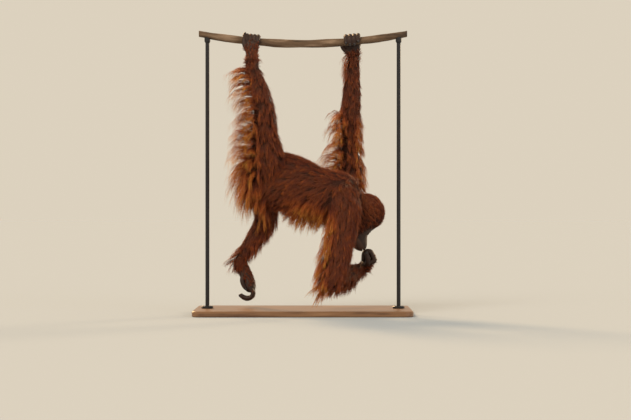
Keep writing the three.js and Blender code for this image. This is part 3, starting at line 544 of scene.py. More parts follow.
def material(name, colour, roughness, metallic=0.0):
    made = bpy.data.materials.new(name)
    made.use_nodes = True
    look = {"Base Color": colour, "Roughness": roughness, "Metallic": metallic}
    set_inputs(shader_of(made), look)
    return made


def ramp_into_colour(made, factor, stops):
    """Colours the shader by a ramp over factor, an output socket."""
    tree = made.node_tree
    ramp = tree.nodes.new("ShaderNodeValToRGB")
    ramp.color_ramp.interpolation = "EASE"
    elements = ramp.color_ramp.elements
    while len(elements) < len(stops):
        elements.new(0.5)
    for element, (place, colour) in zip(elements, stops):
        element.position = place
        element.color = colour
    tree.links.new(factor, ramp.inputs["Fac"])
    tree.links.new(ramp.outputs["Color"], tree.nodes["Principled BSDF"].inputs["Base Color"])


def math_node(tree, operation, a, b):
    node = tree.nodes.new("ShaderNodeMath")
    node.operation = operation
    for socket, value in zip(node.inputs, (a, b)):
        if isinstance(value, (int, float)):
            socket.default_value = value
        else:
            tree.links.new(value, socket)
    return node.outputs[0]


def tinted(tree, factor, colour):
    """Mixes a colour into the shader's own by factor, an output socket."""
    base = tree.nodes["Principled BSDF"].inputs["Base Color"]
    mix = tree.nodes.new("ShaderNodeMix")
    mix.data_type = "RGBA"
    tree.links.new(factor, mix.inputs["Factor"])
    tree.links.new(base.links[0].from_socket, mix.inputs["A"])
    mix.inputs["B"].default_value = colour
    tree.links.new(mix.outputs["Result"], base)


def attribute(tree, name):
    node = tree.nodes.new("ShaderNodeAttribute")
    node.attribute_name = name
    return node.outputs["Fac"]


def noise_node(tree, scale, detail=4.0, stretch=(1, 1, 1)):
    place = tree.nodes.new("ShaderNodeTexCoord")
    mapping = tree.nodes.new("ShaderNodeMapping")
    mapping.inputs["Scale"].default_value = stretch
    made = tree.nodes.new("ShaderNodeTexNoise")
    set_inputs(made, {"Scale": scale, "Detail": detail})
    tree.links.new(place.outputs["Object"], mapping.inputs["Vector"])
    tree.links.new(mapping.outputs["Vector"], made.inputs["Vector"])
    return made.outputs["Fac"]


def add_relief(tree, height, strength, distance):
    """Roughens the shader's surface by height, an output socket."""
    node = tree.nodes.new("ShaderNodeBump")
    set_inputs(node, {"Strength": strength, "Distance": distance})
    tree.links.new(height, node.inputs["Height"])
    tree.links.new(node.outputs["Normal"], tree.nodes["Principled BSDF"].inputs["Normal"])


def coat_material(settings):
    """Hair: dark at the roots, rust red along it and gold at the tips, no bunch quite like the next. The
    light gold tips are partly the hair's own colour and partly a painted glow of backlight shining through
    the hair.
    """
    middle = opaque(settings.coat_colour)
    made = material("coat", middle, 0.62)
    tree = made.node_tree
    tone_and_glow = math_node(tree, "MULTIPLY", attribute(tree, "tone_and_glow"), 0.5)
    tip = math_node(tree, "MULTIPLY", attribute(tree, "tip"), 0.5)
    factor = math_node(tree, "ADD", tone_and_glow, tip)
    # the ramp's light gold top end is partly a painted glow of backlight, at the tips and most of all on the
    # fringes
    ramp_into_colour(made, factor, [
        (0.0, rgb("1c0a05")), (0.28, rgb("431808")), (0.52, middle), (0.74, rgb("a44f17")),
        (1.0, rgb("e09c3c")),
    ])
    set_inputs(shader_of(made), {
        "Specular IOR Level": 0.35, "Sheen Weight": 0.15, "Sheen Roughness": 0.4,
        "Sheen Tint": rgb("ffc080"),
    })
    return made


def skin_material(settings):
    """Bare skin, dark and a little mottled, and red-brown and matt where the attribute furred is high."""
    plain = opaque(settings.skin_colour)
    made = material("skin", plain, 0.55)
    tree = made.node_tree
    mottle = noise_node(tree, 60, 6)
    factor = math_node(tree, "ADD", math_node(tree, "MULTIPLY", mottle, 0.5),
                       math_node(tree, "MULTIPLY", attribute(tree, "furred"), 0.5))
    dark = opaque(c * 0.55 for c in settings.skin_colour)
    ramp_into_colour(made, factor, [
        (0.12, dark), (0.4, plain), (0.6, rgb("2c130b")), (0.9, rgb("381808")),
    ])
    tinted(tree, attribute(tree, "pale"), rgb("5f473c"))
    shader = shader_of(made)
    set_inputs(shader, {"Specular IOR Level": 0.3})
    matt = math_node(tree, "MULTIPLY", attribute(tree, "furred"), 0.4)
    tree.links.new(math_node(tree, "ADD", matt, 0.55), shader.inputs["Roughness"])
    add_relief(tree, noise_node(tree, 420, 5), 0.35, 0.0012)
    return made


def grained(name, stops, roughness, scale, stretch, relief=0.0):
    """Wood or bark: a streaked noise through a ramp."""
    made = material(name, stops[0][1], roughness)
    tree = made.node_tree
    streaks = noise_node(tree, scale, 8, stretch)
    ramp_into_colour(made, streaks, stops)
    if relief:
        add_relief(tree, streaks, 0.8, relief)
    return made


# The coat on each limb: length in metres, lie (+1 runs to the limb's far end), lift from the skin in
# radians, and fall, how soon the hair's own weight takes it. Each fringe is the way it faces, where it
# starts and ends along the limb, then its own length, lie, lift and fall.
COAT = {
    "torso": ((0.06, -0.85, 0.2, 0.5), [
        ((0, -0.1, -1), 0.2, 0.5, 0.04, -0.8, 0.15, 0.6),
        ((0, -0.1, -1), 0.5, 0.85, 0.12, -0.5, 0.6, 1.3),
        ((-1, -0.2, 0), -0.4, 0.25, 0.17, 0.0, 1.25, 0.6),
        ((0, 0, 1), 0.05, 1.2, 0.045, -1.0, 0.16, 0.1),
    ]),
    "neck": ((0.045, -1.0, 0.2, 0.5), []),
    "thigh_right": ((0.055, -0.4, 0.3, 0.8), [
        ((-1, -0.1, 0), 0.2, 1.3, 0.175, 1.0, 1.15, 0.7),
        ((1, -0.2, 0.2), 0.3, 1.3, 0.06, -0.5, 0.7, 0.6),
    ]),
    "shank_right": ((0.045, -0.5, 0.3, 0.7), [
        ((-1, -0.1, 0), -0.3, 0.84, 0.16, 1.0, 1.15, 0.62),
        ((1, -0.2, 0), -0.3, 0.6, 0.055, -0.5, 0.7, 0.6),
        ((1, -0.2, 0), 0.75, 1.05, 0.055, 1.0, 0.5, -0.2),
    ]),
    "thigh_left": ((0.065, 1.0, 0.28, 0.8), [((-0.9, 0.2, 0), -0.3, 0.6, 0.15, 0.0, 1.1, 0.8)]),
    "shank_left": ((0.055, 1.0, 0.28, 0.7), [
        ((0.8, -0.2, -0.5), -0.3, 0.8, 0.075, 0.8, 0.5, 1.0),
        ((-1, 0, 0.3), 0.72, 1.3, 0.08, 0.6, 0.95, 0.05),
    ]),
    "upper_arm_left": ((0.055, 0.3, 0.35, 1.0), [
        ((-1, -0.1, 0), 0.2, 1.1, 0.185, 1.0, 1.15, 0.75),
        ((1, -0.1, 0), 0.1, 1.1, 0.1, 0.2, 1.1, 0.7),
    ]),
    "forearm_left": ((0.042, -1.0, 0.22, 0.4), [
        ((-1, -0.1, 0), -0.2, 0.25, 0.09, 0.0, 0.9, 0.6),
        ((-1, -0.1, 0), 0.74, 1.3, 0.085, -1.0, 0.8, 0.8),
    ]),
    "upper_arm_right": ((0.075, 1.0, 0.22, 0.4), [
        ((-1, -0.1, 0), 0.25, 0.75, 0.13, 0.9, 0.8, 0.5),
        ((-1, -0.1, -0.3), 0.7, 1.4, 0.155, 0.6, 1.05, 0.5),
    ]),
    "forearm_right": ((0.055, -1.0, 0.22, 0.5), [
        ((-1, -0.2, -0.6), -0.4, 0.3, 0.15, -1.0, 0.7, 0.6),
        ((0, -0.2, -1), 0.05, 0.8, 0.075, -1.0, 0.45, 0.6),
    ]),
}
# Bunches of hair: the strands in one, how far they spread, and how wide a strand is, in metres
BODY_BUNCH = (12, 0.0125, 0.0019)
HAND_BUNCH = (7, 0.005, 0.0012)
HEAD_BUNCH = (10, 0.0065, 0.0011)
HAND_ROOTS, HEAD_ROOTS = 3400, 2000
# Lengths of a strand between its bends, on the body and where hair is short
BENDS, SHORT_BENDS = 4, 3
# A strand's size on the map, and the most strands in one piece of the coat
PATCH, PIECE_STRANDS = 0.003, 8800
# Past HAIR_SIDE, to the animal's right, a lock bends back over a width of HAIR_TURN, and no strand reaches
# past SIDE_END. HAIR_LOW is the lowest that a lock hangs.
HAIR_SIDE, HAIR_TURN, HAIR_LOW, SIDE_END = -0.28, 0.014, 0.045, -0.306
# How deep a lock is rooted, how far it keeps from the skin, how much more at its tip, and how far it swerves
ROOT_DEPTH, CLEAR, CLEAR_MORE, SWERVE = 0.002, 0.0015, 0.004, 0.22


def coat_style(limb, u, normal):
    """Length, lie, lift, fall and share of fringe at places along a limb that face along normal; the share
    of fringe also sets how much painted backlight glow the hair's colour gets.
    """
    base, fringes = COAT[limb]
    style = np.tile(np.array((*base, 0.0)), (len(u), 1))
    for face, start, end, *own in fringes:
        facing = smooth(0.25, 0.8, normal @ unit(face))
        along = smooth(start - 0.08, start + 0.12, u) * (1 - smooth(end - 0.12, end + 0.08, u))
        weight = (facing * along)[:, None]
        # long fringes get a painted glow that stands for backlight shining through them
        painted_glow = smooth(0.05, 0.12, own[0])
        style = style * (1 - weight) + np.array((*own, painted_glow)) * weight
    return style


def coat_over(point, normal):
    """The hair's style and lie at places on the body, mixed where limbs meet, and the places on the map."""
    outs, shares, angles, styles, lies = [], [], [], [], []
    for name in HAIRY:
        u, angle, out, along = TUBES[name].nearest(point)
        style = coat_style(name, u, normal)
        outs.append(out)
        shares.append(u)
        angles.append(angle)
        styles.append(style)
        lies.append(along * style[:, 1:2] + np.outer(1 - np.abs(style[:, 1]), DOWN))
    outs = np.array(outs)
    weight = np.exp(-(outs - outs.min(axis=0)) / 0.1)
    weight = (weight / weight.sum(axis=0))[..., None]
    style = (weight * np.array(styles)).sum(axis=0)
    lie = (weight * np.array(lies)).sum(axis=0)
    best = outs.argmin(axis=0)
    each = np.arange(len(point))
    place = map_place(best, np.array(shares)[best, each], np.array(angles)[best, each])
    return style, flattened(lie, normal), place


def flattened(lie, normal):
    """The way the hair lies, along the skin."""
    return unit(lie - normal * (lie * normal).sum(axis=1)[:, None])


def kept_in(at):
    """Bends hair that would reach far out past the elbow or down to the board."""
    past = np.maximum(HAIR_SIDE - at[:, 1], 0)
    low = np.maximum(HAIR_LOW + HAIR_TURN - at[:, 2], 0)
    at[:, 1] += past - HAIR_TURN * np.tanh(past / HAIR_TURN)
    at[:, 2] += low - HAIR_TURN * np.tanh(low / HAIR_TURN)
    return at


def grow_guides(root, normal, lie, style, tree, rng, steps=BENDS):
    """Lines of hair from their roots, bent by their weight and kept outside the skin."""
    count = len(root)
    long, lift, fall = style[:, 0], style[:, 2], style[:, 3]
    side = unit(np.cross(normal, lie))
    swerve = rng.normal(0, SWERVE, count)
    lines = np.empty((steps + 1, count, 3))
    lines[0] = root - normal * ROOT_DEPTH
    at = root.copy()
    for k in range(1, steps + 1):
        share = (k - 0.5) / steps
        way = lie * (np.cos(lift) * (1 - 0.4 * share))[:, None]
        way += normal * (np.sin(lift) * (1 - share))[:, None]
        way += side * (swerve * share)[:, None]
        way += np.outer(fall * share * 1.6, (0, 0, -1))
        at = kept_in(at + unit(way) * (long / steps)[:, None])
        clear = CLEAR + CLEAR_MORE * share
        for i in range(count):
            hit, face_normal, _, _ = tree.find_nearest(Vector(at[i]))
            if hit is None:
                continue
            inside = (Vector(at[i]) - hit).dot(face_normal)
            if inside < clear:
                at[i] = hit + face_normal * clear
        lines[k] = at
    return lines


def strands_from(lines, normal, places, painted_glow, rng, bunch, spread, wide):
    """Each guide's bunch of strands, which draw together towards its tip."""
    steps, count = lines.shape[0], lines.shape[1]
    which = np.repeat(np.arange(count), bunch)
    guide = lines[:, which]
    first = unit(np.cross(normal, (0.3, 0.5, 0.81)))[which]
    second = np.cross(normal[which], first)
    turn = rng.uniform(0, 2 * math.pi, len(which))
    far = np.sqrt(rng.uniform(0, 1, len(which))) * spread
    offset = first * (np.cos(turn) * far)[:, None] + second * (np.sin(turn) * far)[:, None]
    shares = np.linspace(0, 1, steps)[:, None, None]
    stray = rng.normal(0, 1, (len(which), 3)) * spread * 0.45
    tight = rng.uniform(0.35, 0.95, len(which))[None, :, None]
    stretch = rng.uniform(0.72, 1.06, len(which))[None, :, None]
    path = guide[:1] + (guide - guide[:1]) * stretch
    path = path + offset[None] * (1 - tight * shares**0.8) + stray[None] * shares**2
    path[..., 1] = np.maximum(path[..., 1], SIDE_END)
    # each bunch's colour share differs at random, and on the fringes it is raised towards gold by a painted
    # glow of backlight
    tone_and_glow = (rng.normal(0.42, 0.09, count) + 0.55 * painted_glow)[which] + rng.normal(0, 0.07, len(which))
    return {"path": path, "normal": normal[which], "place": places[which], "tone_and_glow": tone_and_glow,
            "wide": wide * rng.uniform(0.75, 1.25, len(which))}


def strand_mesh(name, groups, mat):
    """One mesh of tapered strands of triangular section, each with a small patch of the skin's map."""
    steps = groups["path"].shape[0]
    count = groups["path"].shape[1]
    path = groups["path"]
    along = unit(np.gradient(path, axis=0))
    across = unit(np.cross(along, groups["normal"][None]))
    up = np.cross(across, along)
    shares = np.linspace(0, 1, steps)
    profile = 0.75 + 0.9 * shares - 1.5 * shares**2
    half = groups["wide"][None, :] * profile[:, None] / 2
    rings = []
    for a, b in ((-1, -0.25), (1, -0.25), (0, 0.42)):
        rings.append(path + across * (a * half)[..., None] + up * (b * half)[..., None])
    body = np.stack(rings, axis=2)[: steps - 1]
    verts = np.concatenate([
        body.transpose(1, 0, 2, 3).reshape(count, -1, 3), path[-1][:, None, :],
    ], axis=1)
    each = verts.shape[1]
    faces = [(0, 2, 1)]
    for k in range(steps - 2):
        for j in range(3):
            a, b = 3 * k + j, 3 * k + (j + 1) % 3
            faces += [(a, b, a + 3), (b, b + 3, a + 3)]
    top = 3 * (steps - 2)
    faces += [(top + j, top + (j + 1) % 3, each - 1) for j in range(3)]
    faces = np.array(faces)
    corners = (faces[None] + (np.arange(count) * each)[:, None, None]).reshape(-1)
    mesh = bpy.data.meshes.new(name)
    mesh.vertices.add(count * each)
    mesh.vertices.foreach_set("co", verts.reshape(-1))
    mesh.loops.add(len(corners))
    mesh.loops.foreach_set("vertex_index", corners.astype(np.int32))
    total = len(corners) // 3
    mesh.polygons.add(total)
    mesh.polygons.foreach_set("loop_start", np.arange(0, total * 3, 3, dtype=np.int32))
    mesh.polygons.foreach_set("loop_total", np.full(total, 3, dtype=np.int32))
    mesh.polygons.foreach_set("use_smooth", np.ones(total, dtype=bool))
    mesh.update(calc_edges=True)
    tip = np.concatenate([np.repeat(shares[:-1], 3), [1.0]])
    spread = np.concatenate([np.tile([0.0, 1.0, 0.5], steps - 1), [0.5]])
    patch = np.column_stack([spread, tip]) * PATCH
    uv = groups["place"][:, None, :] + patch[None]
    layer = mesh.uv_layers.new(name="OFBake")
    layer.data.foreach_set("uv", uv.reshape(-1, 2)[corners].reshape(-1))
    set_attribute(mesh, "tone_and_glow", np.repeat(groups["tone_and_glow"], each))
    set_attribute(mesh, "tip", np.tile(tip, count))
    mesh.materials.append(mat)
    mesh.validate()
    return placed(name, mesh)


def map_place(index, u, angle):
    """A place on the unwrap of the skin: each limb, unrolled, has its own upright strip."""
    column = 1 / (len(HAIRY) + len(BARE) + 1)
    across = (np.asarray(angle) / (2 * math.pi)) % 1
    return np.column_stack([(index + 0.04 + 0.88 * across) * column, 0.01 + 0.97 * np.clip(u, 0, 1)])


def surface_roots(skin, piece, count, rng):
    """Places spread evenly over one piece of the skin, and the way each faces."""
    mesh = skin.data
    mesh.calc_loop_triangles()
    corners = np.empty(len(mesh.loop_triangles) * 3, dtype=np.int32)
    mesh.loop_triangles.foreach_get("vertices", corners)
    corners = corners.reshape(-1, 3)
    kind = np.empty(len(mesh.vertices), dtype=np.float32)
    mesh.attributes["piece"].data.foreach_get("value", kind)
    corners = corners[(np.rint(kind[corners]) == piece).all(axis=1)]
    co, no = points_of(skin), normals_of(skin)
    a, b, c = (co[corners[:, k]] for k in range(3))
    area = np.linalg.norm(np.cross(b - a, c - a), axis=1).cumsum()
    drawn = (np.arange(count) + rng.uniform(0, 1, count)) / count * area[-1]
    chosen = corners[np.minimum(np.searchsorted(area, drawn), len(corners) - 1)]
    first = np.sqrt(rng.uniform(0, 1, count))[:, None]
    second = rng.uniform(0, 1, count)[:, None]
    weights = (1 - first, first * (1 - second), first * second)
    point = sum(weight * co[chosen[:, k]] for k, weight in enumerate(weights))
    normal = sum(weight * no[chosen[:, k]] for k, weight in enumerate(weights))
    return point, unit(normal)


def head_fur(p):
    """1 where the head is haired and 0 on the bare face, in the head's frame."""
    side = np.abs(p[:, 1])
    bare = smooth(62, 44, np.hypot(side * 1.05, (p[:, 2] + 22) * 0.78)) * smooth(-34, -20, p[:, 0])
    muzzle = smooth(-8, 6, p[:, 0]) * smooth(26, 12, p[:, 2])
    return 1 - np.clip(np.maximum(bare, muzzle), 0, 1)


def pale_skin(p):
    """How pale the face's skin is: round the eyes and the lips, in the head's frame."""
    side = np.abs(p[:, 1])
    eyes = smooth(21, 12, np.hypot(side - EYE_APART, (p[:, 2] - EYE_UP) * 1.1)) * smooth(-30, -10, p[:, 0])
    lips = smooth(17, 8, np.abs(p[:, 2] - MOUTH_UP)) * smooth(4, 20, p[:, 0])
    return np.clip(0.55 * eyes + 0.6 * lips, 0, 1)


def settings_of(context):
    return context.scene.orangutan


class OrangutanSettings(bpy.types.PropertyGroup):
    """Sizes and colours of the model."""

    coat_colour: FloatVectorProperty(
        name="Coat", description="Colour half way along the coat's hair", default=rgb("64260d")[:3],
        subtype="COLOR", size=3, min=0, max=1,
    )
    skin_colour: FloatVectorProperty(
        name="Skin", description="Colour of the bare skin", default=rgb("38241b")[:3],
        subtype="COLOR", size=3, min=0, max=1,
    )
    body_voxel: FloatProperty(
        name="Body detail", description="Size of the smallest step in the body's skin", default=0.0055,
        min=0.002, max=0.02, unit="LENGTH",
    )
    hand_voxel: FloatProperty(
        name="Hand detail", description="Size of the smallest step in the hands and feet", default=0.0024,
        min=0.001, max=0.01, unit="LENGTH",
    )
    guides: IntProperty(
        name="Locks", description="How many locks of hair the coat has", default=4200, min=100, max=8000,
    )
    seed: IntProperty(name="Seed", description="Start of the random draws", default=7, min=0, max=9999)
    camera_away: FloatProperty(
        name="Camera distance", description="From the camera to the liana", default=9.0, min=1, max=50,
        unit="LENGTH",
    )


class ORANGUTAN_OT_skin(bpy.types.Operator):
    """Makes the skin of the whole body in place of the flesh's solids"""

    bl_idname = "orangutan.skin"
    bl_label = "Skin"

    def execute(self, context):
        settings = settings_of(context)
        flesh = []
        for name in HAIRY:
            bulge = 0.45 if name == "torso" else 1.0
            flesh.append(tube_object(name, TUBES[name], grow=-0.002, sides=32, bulge=bulge))
        body = remeshed(joined(flesh, "body"), settings.body_voxel, relax=8)
        ends = [tube_object(name, TUBES[name], sides=28, bulge=0.8) for name in BARE]
        ends += [tube_object(name, tube, sides=20) for name, tube in digit_tubes().items()]
        ends = remeshed(joined(ends, "ends"), settings.hand_voxel, relax=3)
        co, normal = points_of(ends), normals_of(ends)
        relief = 0.00035 * noise(co, 0.006, 8) + 0.00025 * noise(co, 0.0025, 9)
        set_points(ends, co + normal * relief[:, None])
        head = head_surface()
        for piece, obj in enumerate((body, ends, head)):
            count = len(obj.data.vertices)
            local = to_head(points_of(obj))
            furred = (np.ones(count), self.haired_ends(co), head_fur(local))[piece]
            set_attribute(obj.data, "furred", furred)
            set_attribute(obj.data, "piece", np.full(count, piece))
            set_attribute(obj.data, "pale", pale_skin(local) * (piece == 2))
        skin = joined([body, ends, head], "skin")
        shade(skin, skin_material(settings))
        others = ("eye_", "ear_", "stand_", "perch")
        flesh_nodes = [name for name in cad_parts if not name.startswith(others)]
        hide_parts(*flesh_nodes)
        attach(skin, "root")
        return {"FINISHED"}

    def haired_ends(self, co):
        """1 at the wrists and ankles, and 0 on the palms, the soles and the digits."""
        found = np.zeros(len(co))
        for name in BARE:
            share, _, out, _ = TUBES[name].nearest(co)
            found = np.maximum(found, smooth(0.45, 0.1, share) * (out < 1.6))
        return found


class ORANGUTAN_OT_face(bpy.types.Operator):
    """Makes the eyes, their lids and the ears"""

    bl_idname = "orangutan.face"
    bl_label = "Eyes and ears"

    def execute(self, context):
        skin = bpy.data.materials["skin"]
        eye = material("eye", rgb("2a1408"), 0.08)
        set_inputs(shader_of(eye), {"Coat Weight": 1.0, "Coat Roughness": 0.03})
        middle = attribute(eye.node_tree, "iris")
        ramp_into_colour(eye, middle, [
            (0.0, rgb("3d2c22")), (0.42, rgb("2b190e")), (0.6, rgb("6b3d18")), (0.8, rgb("4a2810")),
            (0.88, rgb("040303")),
        ])
        for sign, side in ((1, "left"), (-1, "right")):
            centre = np.array([EYE_FORWARD, sign * EYE_APART, EYE_UP])
            eyeball = ellipsoid(f"eye_ball_{side}", in_head(centre), (EYE_RADIUS * MM,) * 3, 24)
            local = unit(points_of(eyeball) - in_head(centre)) @ HEAD_AXES
            look = unit((1, sign * 0.1, -0.12))
            set_attribute(eyeball.data, "iris", smooth(0.7, 1.02, local @ look))
            shade(eyeball, eye)
            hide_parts(f"eye_{side}")
            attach(eyeball, "root")
            lids = self.lids(sign, centre)
            lids.name = f"lids_{side}"
            shade(lids, skin)
            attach(lids, "root")
            ear = self.ear(sign)
            ear.name = f"ear_shell_{side}"
            shade(ear, skin)
            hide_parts(f"ear_{side}")
            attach(ear, "root")
        return {"FINISHED"}

    def lids(self, sign, centre):
        """A shell round the ball, which dips inside it where the lids stand open."""
        shell = ball(96, 72)
        p = unit(points_of(shell))
        across = p[:, 1] * sign * EYE_RADIUS
        high = p[:, 2] * EYE_RADIUS - LID_LINE - 0.06 * across
        arch = 1 - (across / LID_HALF) ** 2
        inside = np.where(high > 0, LID_UPPER, LID_LOWER) * arch - np.abs(high)
        opening = smooth(-0.4, 0.4, inside) * (p[:, 0] > 0)
        rim = 0.55 * np.exp(-(((inside + 1.0) / 0.7) ** 2))
        crease = 0.45 * np.exp(-(((inside + 3.4) / 0.6) ** 2)) * (high > 0)
        radius = EYE_RADIUS + 1.2 + rim - crease - 3.2 * opening
        set_points(shell, in_head(p * radius[:, None] + centre))
        return shell

    def ear(self, sign):
        out = 0.0
        while head_distance(np.array([[EAR_FORWARD, out, EAR_UP]]))[0] < 0:
            out += 0.5
        ear = ball(48, 32)
        p = points_of(ear)
        outward = p[:, 1] * sign
        across = np.hypot(p[:, 0], p[:, 2])
        cup = smooth(0.82, 0.5, across) * smooth(0, 0.3, outward)
        fold = 0.25 * np.exp(-(((across - 0.5) / 0.12) ** 2)) * smooth(0, 0.3, outward)
        depth = outward * 8 - cup * 6.5 + fold * 5
        local = np.column_stack([p[:, 0] * 13, sign * depth, p[:, 2] * 19 - 2.5 * p[:, 0]])
        set_points(ear, in_head(local + (EAR_FORWARD, sign * (out - 1), EAR_UP)))
        return ear


class ORANGUTAN_OT_nails(bpy.types.Operator):
    """Makes the nails of the fingers and toes"""

    bl_idname = "orangutan.nails"
    bl_label = "Nails"

    def execute(self, context):
        horn = material("nail", rgb("1d1512"), 0.35)
        nails = []
        for name, tube in digit_tubes().items():
            tip, along = tube.centre[-1], tube.along[-1]
            out = self.back_of(tube)
            wide = np.cross(along, out)
            size = tube.wide[-1]
            axes = Matrix((Vector(wide), Vector(along), Vector(out))).transposed()
            centre = tip + out * size * 0.62 + along * size * 0.35
            radii = (size * 0.66, size * 0.95, size * 0.42)
            nails.append(ellipsoid(f"nail_{name}", centre, radii, 8, axes))
        made = joined(nails, "nails")
        shade(made, horn)
        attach(made, "root")
        return {"FINISHED"}

    def back_of(self, tube):
        """The way a digit's nail faces: out of its bend at the tip."""
        bend = np.cross(tube.across[-1], tube.along[-1])
        return -bend if bend @ (tube.centre[-9] - 2 * tube.centre[-5] + tube.centre[-1]) > 0 else bend


class ORANGUTAN_OT_coat(bpy.types.Operator):
    """Grows the coat lock by lock over the skin"""

    bl_idname = "orangutan.coat"
    bl_label = "Coat"

    def execute(self, context):
        settings = settings_of(context)
        rng = np.random.default_rng(settings.seed)
        self.hair = coat_material(settings)
        skin = bpy.data.objects["skin"]
        tree = BVHTree.FromObject(skin, bpy.context.evaluated_depsgraph_get())
        self.cover_body(skin, tree, rng, settings.guides)
        self.cover_ends(skin, tree, rng)
        self.cover_head(skin, tree, rng)
        return {"FINISHED"}

    def make(self, name, strands):
        """The strands as pieces of a limited size."""
        count = strands["path"].shape[1]
        pieces = math.ceil(count / PIECE_STRANDS)
        for k in range(pieces):
            part = slice(k * count // pieces, (k + 1) * count // pieces)
            chosen = {key: values[part] for key, values in strands.items() if key != "path"}
            chosen["path"] = strands["path"][:, part]
            obj = strand_mesh(f"{name}_{k + 1}", chosen, self.hair)
            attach(obj, "root")

    def cover_body(self, skin, tree, rng, count):
        point, normal = surface_roots(skin, 0, count, rng)
        clear = head_distance(to_head(point)) > 2
        point, normal = point[clear], normal[clear]
        style, lie, places = coat_over(point, normal)
        count = len(point)
        fringe = style[:, 4]
        lock = noise(point, 0.028, 21)
        short = fringe * (1 - smooth(-0.15, 0.3, lock))
        style[:, 0] *= rng.uniform(0.75, 1.15, count) * (1 - 0.5 * short)
        style[:, 2] *= rng.uniform(0.8, 1.15, count)
        lines = grow_guides(point, normal, lie, style, tree, rng)
        # the share of fringe also paints a backlight glow into the hair's colour
        strands = strands_from(lines, normal, places, fringe, rng, *BODY_BUNCH)
        self.make("coat_body", strands)

    def cover_ends(self, skin, tree, rng):
        """Short hair that thins out over the backs of the hands and feet and the digits' first joints."""
        point, normal = surface_roots(skin, 1, HAND_ROOTS, rng)
        digits = [tube.nearest(point) for tube in digit_tubes().values()]
        bare = np.max([(out < 1.12) * smooth(0.12, 0.4, share) for share, _, out, _ in digits], axis=0)
        outs, rows = [], []
        for name, back in BARE.items():
            u, angle, out, along = TUBES[name].nearest(point)
            facing = smooth(-0.3, 0.5, normal @ unit(back))
            haired = np.maximum(smooth(0.35, 0.05, u), facing * smooth(1.15, 0.5, u))
            outs.append(out)
            rows.append((u, angle, haired, along))
        best = np.argmin(outs, axis=0)
        each = np.arange(len(point))
        u, angle, haired = (np.array([row[k] for row in rows])[best, each] for k in range(3))
        along = np.array([row[3] for row in rows])[best, each]
        keep = haired * (1 - bare) > rng.uniform(0, 1, len(point))
        point, normal, u, angle, along = point[keep], normal[keep], u[keep], angle[keep], along[keep]
        count = len(point)
        style = np.column_stack([
            (0.03 - 0.016 * u) * rng.uniform(0.75, 1.2, count), np.ones(count),
            rng.uniform(0.1, 0.35, count), np.full(count, 0.4),
        ])
        lines = grow_guides(point, normal, flattened(along, normal), style, tree, rng, SHORT_BENDS)
        places = map_place(len(HAIRY) + best[keep], u, angle)
        self.make("coat_ends", strands_from(lines, normal, places, np.zeros(count), rng, *HAND_BUNCH))

    def cover_head(self, skin, tree, rng):
        """Short hair that runs back from the face, a little longer on the crown and under the chin."""
        point, normal = surface_roots(skin, 2, HEAD_ROOTS, rng)
        local = to_head(point)
        buried = np.min([TUBES[name].nearest(point)[2] for name in ("neck", "torso")], axis=0) < 0.96
        ear = np.hypot(local[:, 0] - EAR_FORWARD, local[:, 2] - EAR_UP) < 14
        keep = (head_fur(local) > rng.uniform(0.02, 0.5, len(local))) & ~buried & ~ear
        local, point, normal = local[keep], point[keep], normal[keep]
        away = np.array([-0.75, 0, 0.1]) + local * (0.0, 0.006, 0.0)
        lie = flattened(away @ HEAD_AXES.T, normal)
        count = len(point)
        beard = smooth(-60, -95, local[:, 2]) * smooth(-50, -10, local[:, 0])
        long = 0.026 + 0.016 * smooth(-10, -80, local[:, 0]) + 0.012 * beard
        style = np.column_stack([
            long * rng.uniform(0.75, 1.2, count), np.ones(count), rng.uniform(0.0, 0.14, count),
            np.full(count, 0.15),
        ])
        lines = grow_guides(point, normal, lie, style, tree, rng, SHORT_BENDS)
        turn = np.arctan2(local[:, 2], local[:, 1])
        places = map_place(len(HAIRY) + len(BARE), smooth(-180, 60, local[:, 0]), turn)
        self.make("coat_head", strands_from(lines, normal, places, np.zeros(count), rng, *HEAD_BUNCH))


class ORANGUTAN_OT_perch(bpy.types.Operator):
    """Makes the cut length of liana"""

    bl_idname = "orangutan.perch"
    bl_label = "Liana"

    def execute(self, context):
        x = np.linspace(-LIANA_HALF, LIANA_HALF, LIANA_RINGS)
        turn = np.linspace(0, 2 * math.pi, LIANA_SIDES, endpoint=False)
        size = 17.5 + 2 * np.cos(x / 260)
        twist = x[:, None] / 250 * 2 * math.pi
        radius = size[:, None] * (1 + 0.07 * np.cos(2 * turn[None] - twist))
        radius += 0.5 * np.cos(7 * turn[None] - 1.6 * twist)
        ring_points = np.stack([
            np.repeat(x[:, None], LIANA_SIDES, 1), radius * np.cos(turn)[None],
            liana_height(x)[:, None] + radius * np.sin(turn)[None],
        ], axis=2).reshape(-1, 3)
        rough = noise(ring_points * (0.35, 1, 1), 9, 31) * 0.6
        rough = rough + noise(ring_points * (0.4, 1, 1), 3.5, 32) * 0.35
        heart = np.column_stack([ring_points[:, 0], 0 * rough, liana_height(ring_points[:, 0])])
        ring_points += unit(ring_points - heart) * rough[:, None]
        brown = [(0.25, rgb("2b2018")), (0.5, rgb("5f4a36")), (0.75, rgb("8d7660"))]
        bark = grained("bark", brown, 0.9, 30, (0.25, 1, 1), 0.002)
        perch = add_object("liana", ring_points * MM, ring_faces(LIANA_RINGS, LIANA_SIDES))
        shade(perch, bark)
        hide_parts("perch")
        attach(perch, "root")
        return {"FINISHED"}


